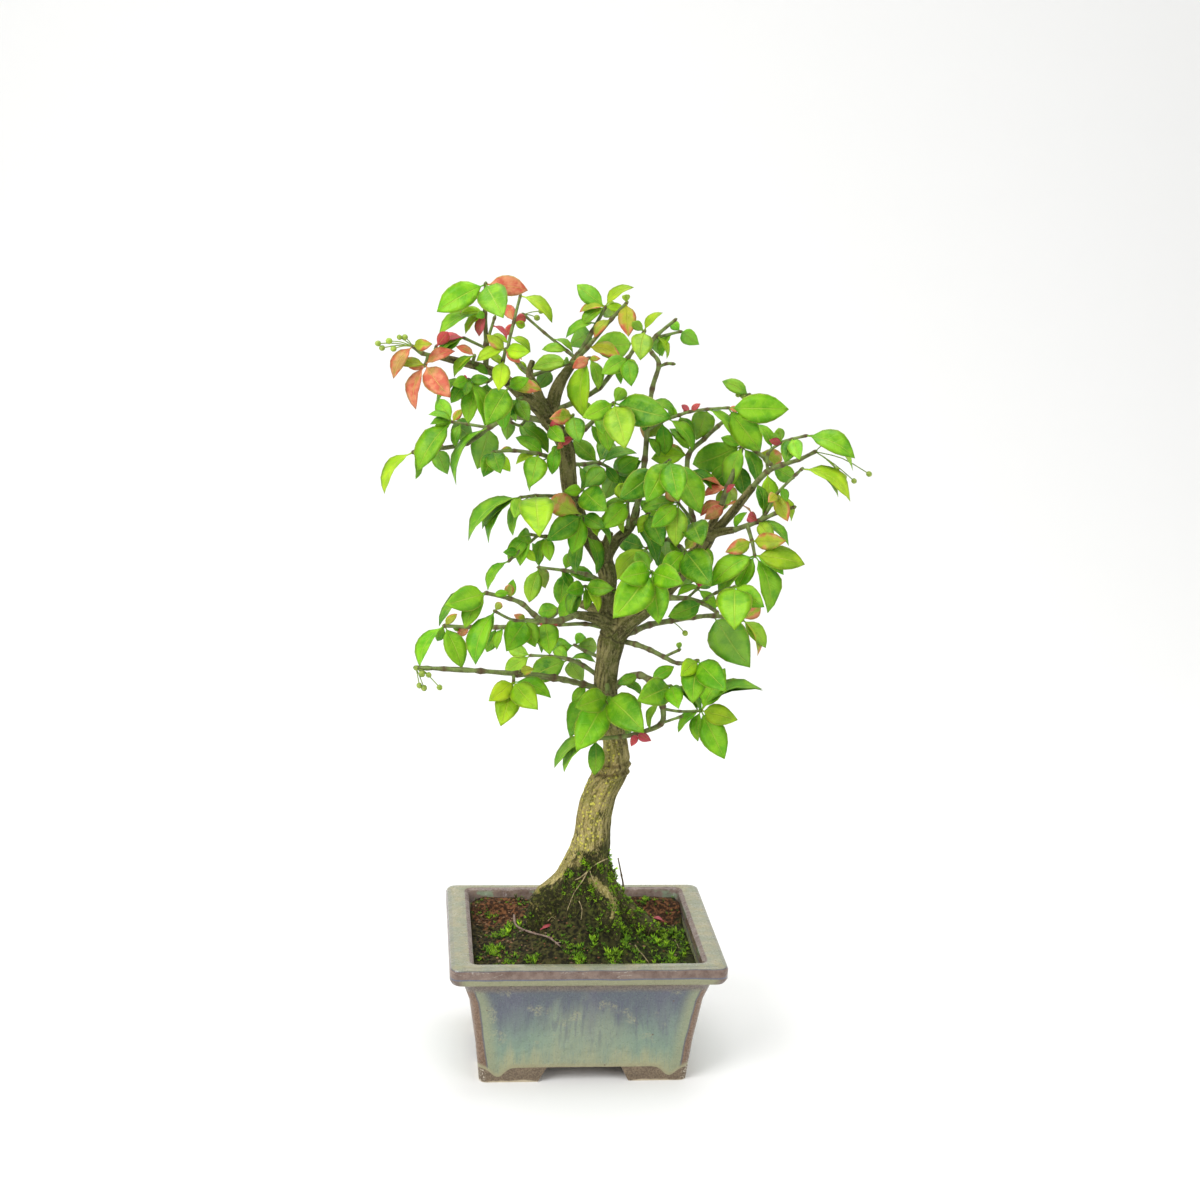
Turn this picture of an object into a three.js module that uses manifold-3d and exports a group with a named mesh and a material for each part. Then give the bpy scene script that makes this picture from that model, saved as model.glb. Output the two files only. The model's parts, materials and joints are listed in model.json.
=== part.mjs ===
// Winged euonymus bonsai (Euonymus alatus) growing in a glazed rectangular pot.
// Units are millimetres and +Z is up. While the tree is built, the middle of the pot's foot
// is at x = 0, y = 0, z = 0 and the viewer stands on the -Y side. At the end the whole group
// is shifted so that its origin is the bottom centre of its bounding box.
import * as THREE from "three";
import { mergeVertices } from "three/addons/utils/BufferGeometryUtils.js";
import Module from "manifold-3d";

const wasm = await Module();
wasm.setup();

// Driving sizes, in millimetres.

// Clearance between neighbouring pieces, and the least distance between two sprays.
const GAP = 0.3;
const SPRAY_GAP = 0.25;

// Pot: half sizes at the rim, and the outer profile as [inset from the rim, height].
const POT_HALF = [75, 60];
const RIM_Z = 75;
const OUTER_PROFILE = [
  [17.6, 0], [15.1, 24], [11.1, 51], [9.1, 57], [7.8, 61], [5, 63.6], [1.2, 64.8], [0, 67.2],
  [0, 72.6], [0.8, 74.3], [2.7, RIM_Z],
];
// Inner wall as [half x, half y, height], from the rim's inner edge down to the floor.
const INNER_PROFILE = [
  [64, 53.6, RIM_Z], [62, 51.6, 73.2], [60.6, 46.4, 61], [56.6, 41.6, 39],
  [53, 38, 14],
];
const FLOOR_Z = 14;
const CORNER_R = 4;
// Feet: the space under the floor, inside four L-shaped corner feet.
const FOOT_H = 9;
const FOOT_WALL = 8;
const FRONT_SPAN = [20.5, 25];
const SIDE_SPAN = [14, 17];
const DRAIN_X = 27;
const DRAIN_R = 7;

// Plastic screens that lie over the drain holes under the soil.
const SCREEN = { half: 11, thick: 1.2, slot: 2.4, pitch: 6 };

// Soil: level at the pot's wall, and the mound that rises to the trunk.
const SOIL_EDGE_Z = 65.6;
const MOUND_H = 15;
const MOUND_REACH = 52;

// Leaves: length over width, rib thickness, and the blade's half width along its length.
const LEAF_RATIO = 2.0;
const RIB_HALF = 0.55;
const FOLD = 0.24;
const BLADE = [[0.24, 0.72], [0.5, 1.0], [0.78, 0.64]];
const SMALL_BLADE = [[0.33, 0.94], [0.68, 0.86]];
const SMALL_LENGTH = 28;
const TINY_BLADE = [[0.42, 1.0]];
const TINY_LENGTH = 13;
const FOOT = { at: 0.12, half: 0.48, rib: 0.42 };
const TWIG_END = 1.2;
const BUD_R = 1.65;

// Colours, as the leaves and woods look from a step away.
const COLOR = {
  G: 0x6da52a, D: 0x2f7a16, P: 0x9cc766, Y: 0xa9bf2e, O: 0xa8924a, S: 0xd98a5c,
  R: 0xc8475a,
  bark: 0x8a7b50, glaze: 0x87a08f, soil: 0x4a3424, screen: 0x2b2b2b, straw: 0xc2a27c,
};

// Reading the view.

// The tree is described as it looks from this eye point: x and z are read on the upright
// plane y = 0 through the trunk, and y says how far in front (-) or behind (+) of it a
// point lies on its line of sight.
const EYE = new THREE.Vector3(-102, -983, 500);

function seen([x, z, y]) {
  const onPlane = new THREE.Vector3(x, 0, z);
  return onPlane.sub(EYE).multiplyScalar((y - EYE.y) / -EYE.y).add(EYE);
}

// Solids and meshes.

// A closed three.js geometry as a solid that can be joined and cut.
function solid(geometry) {
  const bare = geometry.clone();
  bare.deleteAttribute("normal");
  bare.deleteAttribute("uv");
  const merged = mergeVertices(bare, 1e-4);
  return new wasm.Manifold(new wasm.Mesh({
    numProp: 3,
    vertProperties: new Float32Array(merged.attributes.position.array),
    triVerts: new Uint32Array(merged.index.array),
  }));
}

// A skin over rings of points. All rings have the same number of points, in turn
// anticlockwise as seen from the last ring; a ring of one point is a tip. The quads' diagonals
// alternate round the ring, so that both faces of a leaf are split alike.
function loft(rings) {
  const points = rings.flat();
  const starts = [];
  let next = 0;
  for (const ring of rings) {
    starts.push(next);
    next += ring.length;
  }
  const index = [];
  for (let i = 0; i + 1 < rings.length; i++) {
    const [a, b] = [starts[i], starts[i + 1]];
    const [m, n] = [rings[i].length, rings[i + 1].length];
    for (let j = 0; j < Math.max(m, n); j++) {
      const k = (j + 1) % Math.max(m, n);
      if (n === 1) index.push(a + j, a + k, b);
      else if (m === 1) index.push(a, b + k, b + j);
      else if (j % 2 === 0) index.push(a + j, a + k, b + k, a + j, b + k, b + j);
      else index.push(a + j, a + k, b + j, a + k, b + k, b + j);
    }
  }
  const last = starts[rings.length - 1];
  for (let j = 1; j + 1 < rings[0].length; j++) index.push(0, j + 1, j);
  for (let j = 1; j + 1 < rings.at(-1).length; j++) index.push(last, last + j, last + j + 1);
  const geometry = new THREE.BufferGeometry().setFromPoints(points);
  geometry.setIndex(index);
  return geometry;
}

// Joins a list of solids into one.
function joined(solids) {
  return wasm.Manifold.union(solids);
}

// A named mesh of a solid, for its largest body: loose scraps are dropped and any
// hollow that joining sealed is filled.
function meshOf(name, body, color, roughness = 0.7) {
  const bodies = body.decompose().filter((b) => b.volume() > 0);
  bodies.sort((a, b) => b.volume() - a.volume());
  const { vertProperties, triVerts } = bodies[0].getMesh();
  const geometry = new THREE.BufferGeometry();
  geometry.setAttribute("position", new THREE.BufferAttribute(vertProperties, 3));
  geometry.setIndex(new THREE.BufferAttribute(triVerts, 1));
  const material = new THREE.MeshStandardMaterial({ color, roughness, metalness: 0 });
  const mesh = new THREE.Mesh(geometry, material);
  mesh.name = name;
  return mesh;
}

function boxSolid(x0, x1, y0, y1, z0, z1) {
  const geometry = new THREE.BoxGeometry(x1 - x0, y1 - y0, z1 - z0);
  geometry.translate((x0 + x1) / 2, (y0 + y1) / 2, (z0 + z1) / 2);
  return solid(geometry);
}

function postSolid(x, y, z0, z1, radius, sides) {
  const geometry = new THREE.CylinderGeometry(radius, radius, z1 - z0, sides);
  geometry.rotateX(Math.PI / 2);
  geometry.translate(x, y, (z0 + z1) / 2);
  return solid(geometry);
}

// A repeatable stream of numbers from 0 to 1 (mulberry32).
function drawer(seed) {
  let state = seed;
  return () => {
    state = (state + 0x6d2b79f5) | 0;
    let t = Math.imul(state ^ (state >>> 15), 1 | state);
    t = (t + Math.imul(t ^ (t >>> 7), 61 | t)) ^ t;
    return ((t ^ (t >>> 14)) >>> 0) / 4294967296;
  };
}

// The pot and its drain screens.

// One level of a rectangle with rounded corners, anticlockwise from +X.
function roundedRing(halfX, halfY, z, radius, steps = 2) {
  const ring = [];
  const corners = [[1, 1, 0], [-1, 1, 1], [-1, -1, 2], [1, -1, 3]];
  for (const [sx, sy, quarter] of corners) {
    for (let i = 0; i <= steps; i++) {
      const angle = (quarter + i / steps) * Math.PI / 2;
      ring.push(new THREE.Vector3(
        sx * (halfX - radius) + radius * Math.cos(angle),
        sy * (halfY - radius) + radius * Math.sin(angle),
        z,
      ));
    }
  }
  return ring;
}

function buildPot() {
  const outer = OUTER_PROFILE.map(([inset, z]) =>
    roundedRing(POT_HALF[0] - inset, POT_HALF[1] - inset, z, CORNER_R));
  const inner = INNER_PROFILE.map(([halfX, halfY, z]) => roundedRing(halfX, halfY, z, CORNER_R));
  const [floorX, floorY] = INNER_PROFILE.at(-1);
  const above = roundedRing(INNER_PROFILE[0][0], INNER_PROFILE[0][1], RIM_Z + 5, CORNER_R);
  let pot = solid(loft(outer)).subtract(solid(loft([above, ...inner].reverse())));
  const footX = floorX + 4 - FOOT_WALL;
  const footY = floorY + 4 - FOOT_WALL;
  pot = pot.subtract(boxSolid(-footX, footX, -footY, footY, -1, FOOT_H));
  pot = pot.subtract(footGap(FRONT_SPAN, false));
  pot = pot.subtract(footGap(SIDE_SPAN, true));
  for (const x of [-DRAIN_X, DRAIN_X])
    pot = pot.subtract(postSolid(x, 0, FOOT_H - 1, FLOOR_Z + 1, DRAIN_R, 16));
  return pot;
}

// The gap between two feet, wider at the table than under the floor, running through the pot.
function footGap([halfTop, halfFoot], alongX) {
  const reach = POT_HALF[0] + 5;
  const slope = (halfFoot - halfTop) / FOOT_H;
  const outline = new THREE.Shape([
    new THREE.Vector2(-halfFoot - slope, -1),
    new THREE.Vector2(halfFoot + slope, -1),
    new THREE.Vector2(halfTop, FOOT_H),
    new THREE.Vector2(-halfTop, FOOT_H),
  ]);
  const geometry = new THREE.ExtrudeGeometry(outline, { depth: 2 * reach, bevelEnabled: false });
  geometry.translate(0, 0, -reach);
  geometry.rotateX(Math.PI / 2);
  if (alongX) geometry.rotateZ(Math.PI / 2);
  return solid(geometry);
}

function buildScreen(x) {
  const { half, thick, slot, pitch } = SCREEN;
  const bottom = FLOOR_Z + GAP;
  let screen = boxSolid(x - half, x + half, -half, half, bottom, bottom + thick);
  for (let row = -1; row <= 1; row++) {
    const y = row * pitch;
    screen = screen.subtract(boxSolid(
      x - half + 2, x + half - 2, y - slot / 2, y + slot / 2, bottom - 1, bottom + thick + 1,
    ));
  }
  return screen;
}

// The trunk and its root flare.

// Centre line and mean radius of the trunk as [x, z, y, radius], from the root ball up.
const TRUNK = [
  [2, 48, 0, 8], [2, 62, 0, 12], [2, 74, 0, 15], [2, 84, 0, 14.5], [2, 91, 0, 13.6],
  [2, 98, 0, 13], [2, 105, 0, 12.6], [2, 112, 0, 12], [3.3, 121, 0, 11], [4.3, 131, 0, 10],
  [5, 141, 0, 9.5], [7, 151, 0, 9.6], [10.6, 160, 0, 9.7], [14, 167, 0, 8.6],
  [15.4, 177, 0, 7.1], [13.4, 189, 0, 6.6], [10.2, 203, 0, 6.5], [8.7, 216, 0, 6.4],
  [9.4, 229, 0, 6.5], [11.4, 240, 0, 7.4], [12.4, 248, 0, 6.4],
];
const TRUNK_SIDES = 12;

// Surface roots as [angle in degrees, reach at each height]: how far each bulges out of the
// trunk at the heights of ROOT_LEVELS.
const ROOT_LEVELS = [48, 62, 74, 84, 91, 98, 105, 112, 121];
const ROOTS = [
  [182, 22, [2, 13, 18, 18.5, 18.5, 14, 5.5, 2, 0.5]],
  [-4, 20, [4, 20, 29, 17.5, 11, 6, 3, 1, 0]],
  [-57, 20, [4, 14, 15, 14, 12.5, 8.5, 4.5, 2, 0]],
  [-118, 24, [1, 7, 8, 7, 5.5, 3, 1.5, 0, 0]],
  [62, 22, [2, 11, 15, 11, 7, 4, 2, 0, 0]],
  [122, 22, [1, 9, 12, 9, 6, 3, 1, 0, 0]],
];

// How far the roots reach past the trunk's mean radius, at an angle and a height.
function rootBulge(degrees, z) {
  let bulge = 0;
  for (const [angle, spread, reach] of ROOTS) {
    let level = 0;
    while (level + 2 < ROOT_LEVELS.length && z > ROOT_LEVELS[level + 1]) level++;
    const step = (z - ROOT_LEVELS[level]) / (ROOT_LEVELS[level + 1] - ROOT_LEVELS[level]);
    const t = THREE.MathUtils.clamp(step, 0, 1);
    const out = THREE.MathUtils.lerp(reach[level], reach[level + 1], t);
    const off = THREE.MathUtils.euclideanModulo(degrees - angle + 180, 360) - 180;
    bulge += out * Math.exp(-((off / spread) ** 2));
  }
  return bulge;
}

// The trunk's rings; extra widens them all round, for the hole it stands in.
function trunkRings(extra = 0) {
  return TRUNK.map(([x, z, y, radius]) => {
    const centre = seen([x, z, y]);
    const ring = [];
    for (let i = 0; i < TRUNK_SIDES; i++) {
      const angle = i / TRUNK_SIDES * 2 * Math.PI;
      const bark = z > 112 ? 0.35 * (i % 2 ? 1 : -1) : 0;
      const out = radius + rootBulge(THREE.MathUtils.radToDeg(angle), z) + bark + extra;
      ring.push(new THREE.Vector3(
        centre.x + out * Math.cos(angle),
        centre.y + out * Math.sin(angle),
        centre.z,
      ));
    }
    return ring;
  });
}

// Limbs and twigs.

// A round or finned tube along points as [x, z, y, radius]; fins is how far its corky wings
// stand out of the bark, as a share of the radius.
function tube(points, sides, fins = 0) {
  const path = points.map((p) => (p.isVector3 ? p : seen(p)));
  const radii = points.map((p) => (p.isVector3 ? p.radius : p[3]));
  const corners = fins ? 8 : sides;
  const rings = path.map((centre, i) => {
    const before = path[Math.max(i - 1, 0)];
    const after = path[Math.min(i + 1, path.length - 1)];
    const along = after.clone().sub(before).normalize();
    const across = new THREE.Vector3(0, 1, 0.15).cross(along).normalize();
    const up = along.clone().cross(across);
    const ring = [];
    for (let j = 0; j < corners; j++) {
      const angle = (j + 0.5) / corners * 2 * Math.PI;
      const out = radii[i] * (fins && j % 2 === 0 ? 1 + fins : 1);
      ring.push(centre.clone()
        .addScaledVector(across, out * Math.cos(angle))
        .addScaledVector(up, out * Math.sin(angle)));
    }
    return ring;
  });
  return solid(loft(rings));
}

// The woody limbs that are one piece with the trunk, as [x, z, y, radius].
const LIMBS = {
  leader: [
    [12, 243, 0, 6], [8, 256, 2, 5.2], [7, 266, 4, 4.8], [7.5, 275, 5, 4.9],
    [4.5, 285, 6, 5], [-3, 296, 6, 4.3], [-9, 308, 4, 4], [-14, 320, 2, 4.2],
    [-16, 332, 0, 4.4], [-17.5, 345, 0, 4.4], [-22, 354, 2, 4.4], [-28, 361, 4, 4.6],
  ],
  topLeft: [
    [-25, 357, 3, 4.2], [-33, 367, 0, 4], [-41, 373, -5, 3.6], [-48, 379, -9, 3],
    [-55, 384, -13, 2.6], [-63, 387, -17, 2.3], [-74, 389.5, -21, 2], [-85, 392, -25, 1.7],
  ],
  topRight: [
    [-25, 356, 3, 4], [-25, 370, 8, 3.6], [-22, 380, 12, 3.2], [-17, 388, 15, 2.4],
    [-12, 396, 18, 1.9],
  ],
  topBack: [
    [-28, 362, 4, 3], [-34, 376, 8, 2.4], [-38, 384, 13, 2.1], [-36.5, 391.5, 15, 1.5],
  ],
  cutStub: [[4, 287, 5, 3], [5.5, 293, 5, 2.4], [7.5, 300.5, 3, 2.1]],
  rightLeader: [
    [5, 284, 6, 3.6], [8, 291, 9, 3.4], [12, 297, 13, 3], [18, 303, 16, 2.6],
    [20.5, 309, 18, 2.3], [21.5, 315, 19, 2.1],
  ],
  rightLimb: [
    [12, 243, 0, 6.2], [20, 252, -3, 5.8], [28, 259, -5, 5.4], [36, 267, -6, 5.2],
    [43, 275, -5, 5], [50, 284, -3, 4.6], [57, 292, 0, 4.3], [62, 300.5, 3, 3.6],
  ],
  rightFork: [
    [60, 297, 3, 3], [68, 306, 2, 2.6], [76, 316, 0, 2.4], [84, 327, -3, 2.1],
  ],
  rightBack: [[59, 296, 3, 2.9], [64, 309, 8, 2.2], [67, 316, 11, 2]],
  rightFront: [[60, 298.5, 2, 2.6], [67, 301.5, -2, 2.2], [75, 303, -7, 1.9]],
  lowLeftFront: [[11, 248, 0, 4.4], [1, 253, -9, 3], [-9, 254.5, -17, 2.2]],
  lowLeftBack: [[9, 250, 0, 4], [2, 257, 9, 3], [-7, 261, 18, 2.2]],
};

// The leafy sprays.

// Each spray is a twig with its side twigs, leaves and flower buds. A stem starts on the wood
// (or, for a side stem, on the spray's first stem) and runs through its nodes. A stem is
// [radius, start, ...nodes], a start is [x, z, y] and a node is [[x, z, y], ...leaves].
// A leaf is [tint, tip x, tip z, width], all as seen, and "bud" takes the place of its tint
// for a flower bud on its stalk. From the seen length and width the rule below finds how the
// leaf is turned, as every leaf is LEAF_RATIO times as long as it is wide.
const SPRAYS = {
  top_left_tip: [
    [1.4, [-85, 392, -25], [[-94, 393.5, -28]],
      [[-99, 397, -30], ["S", -109, 380, 7], ["O", -89, 399, 6], ["bud", -117, 398],
        ["bud", -109, 395.5], ["bud", -106, 401.5]]],
    [1, [-91, 393, -27], [[-92.5, 387.5, -30], ["S", -97, 364, 7], ["S", -80, 370, 12],
      ["S", -77, 395, 6], ["O", -106, 387, 5], ["S", -101, 386, 4]]],
    [0.9, [-88, 392.5, -26], [[-87, 397, -24], ["R", -81, 405, 6]]],
  ],
  top_left_pair: [
    [1.7, [-61, 386.5, -16], [[-61, 399, -18]],
      [[-62, 415, -20], ["Y", -75, 414, 5], ["G", -67, 413, 4], ["G", -86, 401, 6],
        ["Y", -72, 404, 4], ["R", -65, 403, 5]],
      [[-62, 430, -22], ["G", -87, 415, 13], ["P", -52, 413, 15], ["S", -40, 428, 10]]],
    [1, [-61, 399, -18], [[-57, 413, -26]]],
    [0.9, [-61, 397, -18], [[-72.5, 402, -14], ["D", -86, 391, 6]]],
  ],
  top_middle_front: [
    [1.3, [-54, 383.5, -12.5], [[-52, 391, -22], ["Y", -54, 375, 9]],
      [[-51, 396.5, -24], ["Y", -66, 390, 6], ["Y", -38, 395, 8], ["O", -61, 404, 6],
        ["S", -43, 390, 5]]],
  ],
  top_left_droop: [
    [1.1, [-68, 388.5, -19], [[-67, 393, -25], ["G", -78, 382, 5], ["S", -77, 397, 4]]],
  ],
  top_left_under: [
    [1.1, [-56, 384.5, -13.5], [[-60, 379.5, -20], ["D", -62, 362, 9]],
      [[-70, 380.5, -26], ["D", -79, 368, 7], ["D", -71, 372, 6], ["R", -73, 382, 2.5]]],
  ],
  top_left_broad: [
    [1.3, [-46, 377.5, -8], [[-49, 377, -20], ["G", -50, 354, 9], ["G", -61, 357, 14],
      ["O", -32, 376, 7], ["G", -38, 382, 7]]],
  ],
  top_left_inner: [
    [1.1, [-40, 372.5, -4.5], [[-44, 371, -15], ["D", -38, 359, 8], ["D", -49, 362, 7]]],
  ],
  top_back_upright: [
    [1.4, [-38, 384, 13], [[-44, 389.5, 17]], [[-49.5, 396, 21]],
      [[-47, 411, 24], ["R", -51, 404, 4], ["S", -51, 420, 6], ["R", -41, 414, 5],
        ["Y", -41, 409, 4]],
      [[-44, 424.5, 26], ["Y", -27, 411, 6]]],
  ],
  top_cross: [
    [1.3, [-36.5, 383.5, 12.5], [[-27, 387, 9], ["D", -34, 376, 8]],
      [[-17, 390.5, 5], ["P", -37, 387, 8], ["G", -20, 392, 4]],
      [[-7, 393.5, 0], ["Y", -8, 361, 11], ["S", -16, 388, 6], ["O", -1, 393, 3]]],
  ],
  top_right_back: [
    [1.2, [-14, 393, 17], [[-18.5, 396.5, 22], ["P", -32, 397, 5]], [[-31, 406, 28]],
      [[-42, 415, 34], ["bud", -33, 417], ["bud", -35, 413.5]]],
  ],
  top_upright_left: [
    [1.6, [-12, 396, 18], [[-6, 407, 20], ["G", -18, 400, 11]],
      [[0.5, 420, 22], ["P", -15, 431, 9], ["Y", 15, 431, 5], ["O", -13, 417, 4],
        ["G", -12, 410, 6], ["Y", 8, 416, 9]]],
  ],
  top_upright_right: [
    [1.5, [-14, 392, 16], [[-8, 399, 12], ["P", 15, 401, 14], ["O", 10, 394, 7]],
      [[4, 414, 9], ["O", -5, 404, 5]],
      [[11.5, 422.5, 7], ["O", 13, 405, 9], ["Y", 11, 427, 4]]],
  ],
  top_small_branch: [
    [1.7, [-23, 366, 5], [[-12, 371, 8]], [[-1, 378, 8]], [[7, 388, 4]],
      [[13.5, 394, 0], ["P", -1, 386, 9], ["G", 16, 379, 9], ["Y", 18, 386, 5],
        ["G", 10, 380, 5]],
      [[18, 402, -4]],
      [[21.5, 408, -6], ["P", 19, 393, 11], ["Y", 31, 418, 4], ["P", 15, 413, 5]]],
  ],
  top_middle_rosette: [
    [1.7, [-18.5, 348.5, 0], [[-8, 356, -5]],
      [[0, 364, -11], ["G", 2, 353, 7], ["G", 5, 344, 9]],
      [[7, 370, -16], ["D", 38, 362, 16], ["P", 15, 346, 16], ["G", -9, 361, 10],
        ["G", 12, 378, 7]]],
  ],
  leader_top_front: [
    [1.1, [-24, 357, 2], [[-27, 357, -10], ["G", -19, 348, 8], ["R", -20, 360, 4]]],
  ],
  leader_front: [
    [1.1, [-17.5, 345, 0], [[-22, 347, -10], ["G", -24, 331, 7], ["S", -19, 346, 4],
      ["R", -14, 351, 4]]],
  ],
  leader_right_front: [
    [1.1, [-20, 351, 1], [[-14.5, 363, -11], ["D", -11, 348, 10], ["O", -27, 361, 8]]],
  ],
  right_upright: [
    [1.9, [21.5, 315, 19], [[23, 325, 20]], [[24.7, 340, 21], ["D", 8, 334, 12]],
      [[25.5, 359, 23], ["O", 24, 351, 7]], [[27, 378, 25]], [[30, 391, 26]],
      [[26, 397, 28]], [[24, 400.5, 30]]],
    [1.2, [25.4, 356, 22.5], [[33, 361, 20], ["O", 25, 352, 7], ["D", 36, 343, 9]],
      [[42, 364.5, 17], ["D", 50, 349, 9], ["G", 36, 367, 5]],
      [[48, 366.5, 15], ["R", 53, 371, 3], ["R", 43, 370, 3]],
      [[57, 368, 13], ["G", 52, 351, 12], ["G", 71, 353, 5]],
      [[68, 369, 10], ["G", 101, 369, 15], ["G", 87, 346, 14], ["S", 75, 367, 3]]],
    [1, [29.5, 389.5, 26], [[34, 391.5, 24]], [[37.5, 391.5, 23]]],
    [1.5, [24, 400.5, 30], [[28, 406, 30], ["G", 31, 395, 8], ["Y", 34, 394, 3]],
      [[37.5, 414.5, 29]]],
    [0.9, [27.5, 405, 30], [[40.5, 408.5, 34], ["G", 51, 402, 8], ["G", 36, 413, 5]]],
  ],
  right_back_upright: [
    [1.8, [58, 293, 1], [[52, 309, 12]], [[49, 326, 19]],
      [[48, 343, 24], ["O", 33, 346, 8], ["Y", 28, 341, 9]],
      [[56, 352, 28]], [[63, 359, 31]], [[71, 366, 35], ["D", 84, 357, 9]],
      [[79, 376, 39], ["P", 64, 383, 7], ["bud", 73, 376]]],
  ],
  inner_back_high: [
    [1.5, [-16.5, 337, 1], [[-8, 337, 12]],
      [[0, 338, 20], ["D", -14, 350, 9], ["D", -6, 325, 12], ["D", 6, 350, 11]],
      [[10, 333, 28], ["D", 4, 318, 10], ["D", 20, 317, 11], ["G", 21, 342, 9]]],
  ],
  inner_back_low: [
    [1.5, [52, 286.5, -2], [[46, 293, 12]],
      [[38, 297, 20], ["D", 50, 310, 10], ["D", 24, 306, 11], ["D", 38, 284, 11]],
      [[28, 292, 26], ["D", 12, 297, 10], ["D", 22, 279, 11]]],
    [1, [46.5, 292.5, 11.5], [[53, 281, 14], ["D", 64, 271, 9], ["D", 46, 270, 9]]],
  ],
  middle_front_broad: [
    [1.5, [20, 308, 17.5], [[24, 322, 9]], [[32, 335, -2], ["D", 12, 318, 14]],
      [[38, 340, -8], ["G", 26, 317, 14], ["G", 44, 318, 14], ["G", 56, 311, 14]]],
  ],
  right_fork_front: [
    [1.4, [58, 294, 0], [[52, 307, -8], ["D", 58, 294, 14]],
      [[44, 317, -15], ["P", 43, 293, 11], ["S", 51, 328, 5], ["S", 37, 324, 6],
        ["G", 30, 303, 10]]],
  ],
  middle_front_pair: [
    [1.3, [17, 302, 15.5], [[17, 310, 3]], [[16.5, 317, -8], ["G", 3, 302, 11],
      ["Y", 15, 300, 5], ["Y", 11, 327, 8]]],
  ],
  middle_inner: [
    [1.1, [19, 305, 16.5], [[28, 311, 8], ["Y", 23, 300, 7], ["D", 37, 293, 11]]],
  ],
  leader_right_broad: [
    [1.2, [-13.5, 319, 2], [[-8, 323.5, -7], ["D", 3, 335, 10], ["G", -18, 322, 6],
      ["D", 5, 311, 14]]],
  ],
  leader_low_front: [
    [1.2, [-9.5, 309, 4], [[-7.5, 309.5, -11], ["O", -25, 318, 12], ["D", -27, 296, 12],
      ["G", -12, 288, 10], ["Y", 1, 298, 5], ["D", 5, 303, 8]]],
  ],
  left_middle: [
    [1.5, [-17, 340, 0], [[-24, 340, -5]],
      [[-32, 342, -12], ["G", -36, 324, 12], ["Y", -44, 336, 4]],
      [[-45, 343.5, -18], ["O", -52, 344, 3]],
      [[-56, 342.5, -24], ["D", -61, 329, 9], ["D", -52, 331, 10], ["Y", -47, 332, 6]]],
  ],
  left_orange: [
    [1.4, [-13.5, 319, 2], [[-22, 319.5, -9], ["R", -25, 310, 3]],
      [[-33, 319.5, -18], ["Y", -30, 297, 17]],
      [[-41, 318.5, -24], ["G", -68, 294, 7], ["G", -61, 301, 7], ["G", -57, 293, 5],
        ["P", -44, 307, 8]]],
  ],
  left_back_long: [
    [2, [-26, 359, 4], [[-38, 361, 14], ["D", -38, 347, 9]],
      [[-48, 361, 24], ["D", -54, 369, 7], ["D", -49, 349, 7]],
      [[-58, 356, 32], ["G", -64, 333, 14], ["G", -75, 324, 4]],
      [[-70, 347, 38]], [[-86, 343.5, 44], ["G", -80, 330, 9], ["R", -84, 350, 5]],
      [[-98, 341.5, 48], ["Y", -113, 319, 6], ["G", -97, 327, 4]]],
    [1.1, [-59, 355.5, 32.5], [[-70, 357, 36]],
      [[-78, 358, 37], ["G", -95, 331, 12], ["D", -66, 349, 11], ["G", -86, 370, 8],
        ["O", -73, 365, 4]]],
    [1, [-39, 361, 15], [[-42, 357, 9]], [[-47, 358.5, 4]]],
  ],
  left_hanging: [
    [1.4, [-5, 300, 5], [[-16, 299, -4]], [[-27, 297.5, -12], ["G", -24, 284, 7],
      ["D", -31, 282, 6]],
      [[-35, 298.5, -16], ["G", -47, 284, 8], ["G", -40, 281, 7]]],
    [0.8, [-31, 298, -14], [[-40, 290, -20]], [[-46, 284, -24], ["G", -57, 267, 5]]],
  ],
  left_back_small: [
    [1.5, [4.5, 273, 4.5], [[-4, 277, 12]],
      [[-16, 279, 21], ["G", -13, 289, 6], ["D", -18, 260, 9], ["D", 1, 273, 7]],
      [[-30, 280.5, 28], ["P", -35, 261, 9], ["O", -26, 269, 8], ["D", -34, 294, 5],
        ["G", -29, 293, 5]]],
  ],
  leader_base_front: [
    [1.2, [5, 269, 4], [[-5, 270.5, -9], ["G", 11, 269, 9], ["G", -17, 250, 10],
      ["G", -15, 267, 8], ["D", -13, 254, 5], ["G", -4, 257, 5], ["Y", 3, 256, 5]]],
  ],
  front_rosette: [
    [1.7, [40, 271, -5.5], [[36, 275, -18]],
      [[31, 279, -32], ["G", 12, 252, 19], ["G", 37, 250, 14], ["G", 49, 273, 13],
        ["G", 13, 276, 13], ["G", 22, 290, 8]]],
  ],
  right_inner_broad: [
    [1.4, [53, 287.5, -1.5], [[48.5, 291, -16], ["D", 65, 272, 17], ["G", 36, 276, 11],
      ["O", 53, 298, 6]]],
  ],
  right_back_rosette: [
    [1.9, [67, 316, 11], [[70, 326, 15], ["Y", 66, 312, 8], ["S", 57, 321, 5],
      ["O", 75, 318, 7]],
      [[75, 340, 22], ["D", 60, 326, 10], ["D", 80, 322, 9]],
      [[77.5, 349, 24], ["G", 51, 337, 15], ["P", 71, 325, 10], ["G", 65, 353, 6]],
      [[85, 345.5, 20], ["O", 99, 341, 9]],
      [[93, 339, 16], ["G", 106, 331, 9]]],
  ],
  right_low_red: [
    [1.1, [65, 311, 9], [[69, 316, 4], ["S", 58, 309, 7], ["S", 84, 312, 4]]],
  ],
  right_tip: [
    [1.8, [84, 327, -3], [[91, 335, -6], ["Y", 91, 312, 9]],
      [[99, 339, -8]], [[108, 342, -9]],
      [[116.5, 346.5, -10], ["bud", 129, 337], ["bud", 139, 331], ["bud", 147, 335],
        ["bud", 127, 355]]],
    [1.1, [91.5, 335.5, -6], [[91, 345, -12]],
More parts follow.
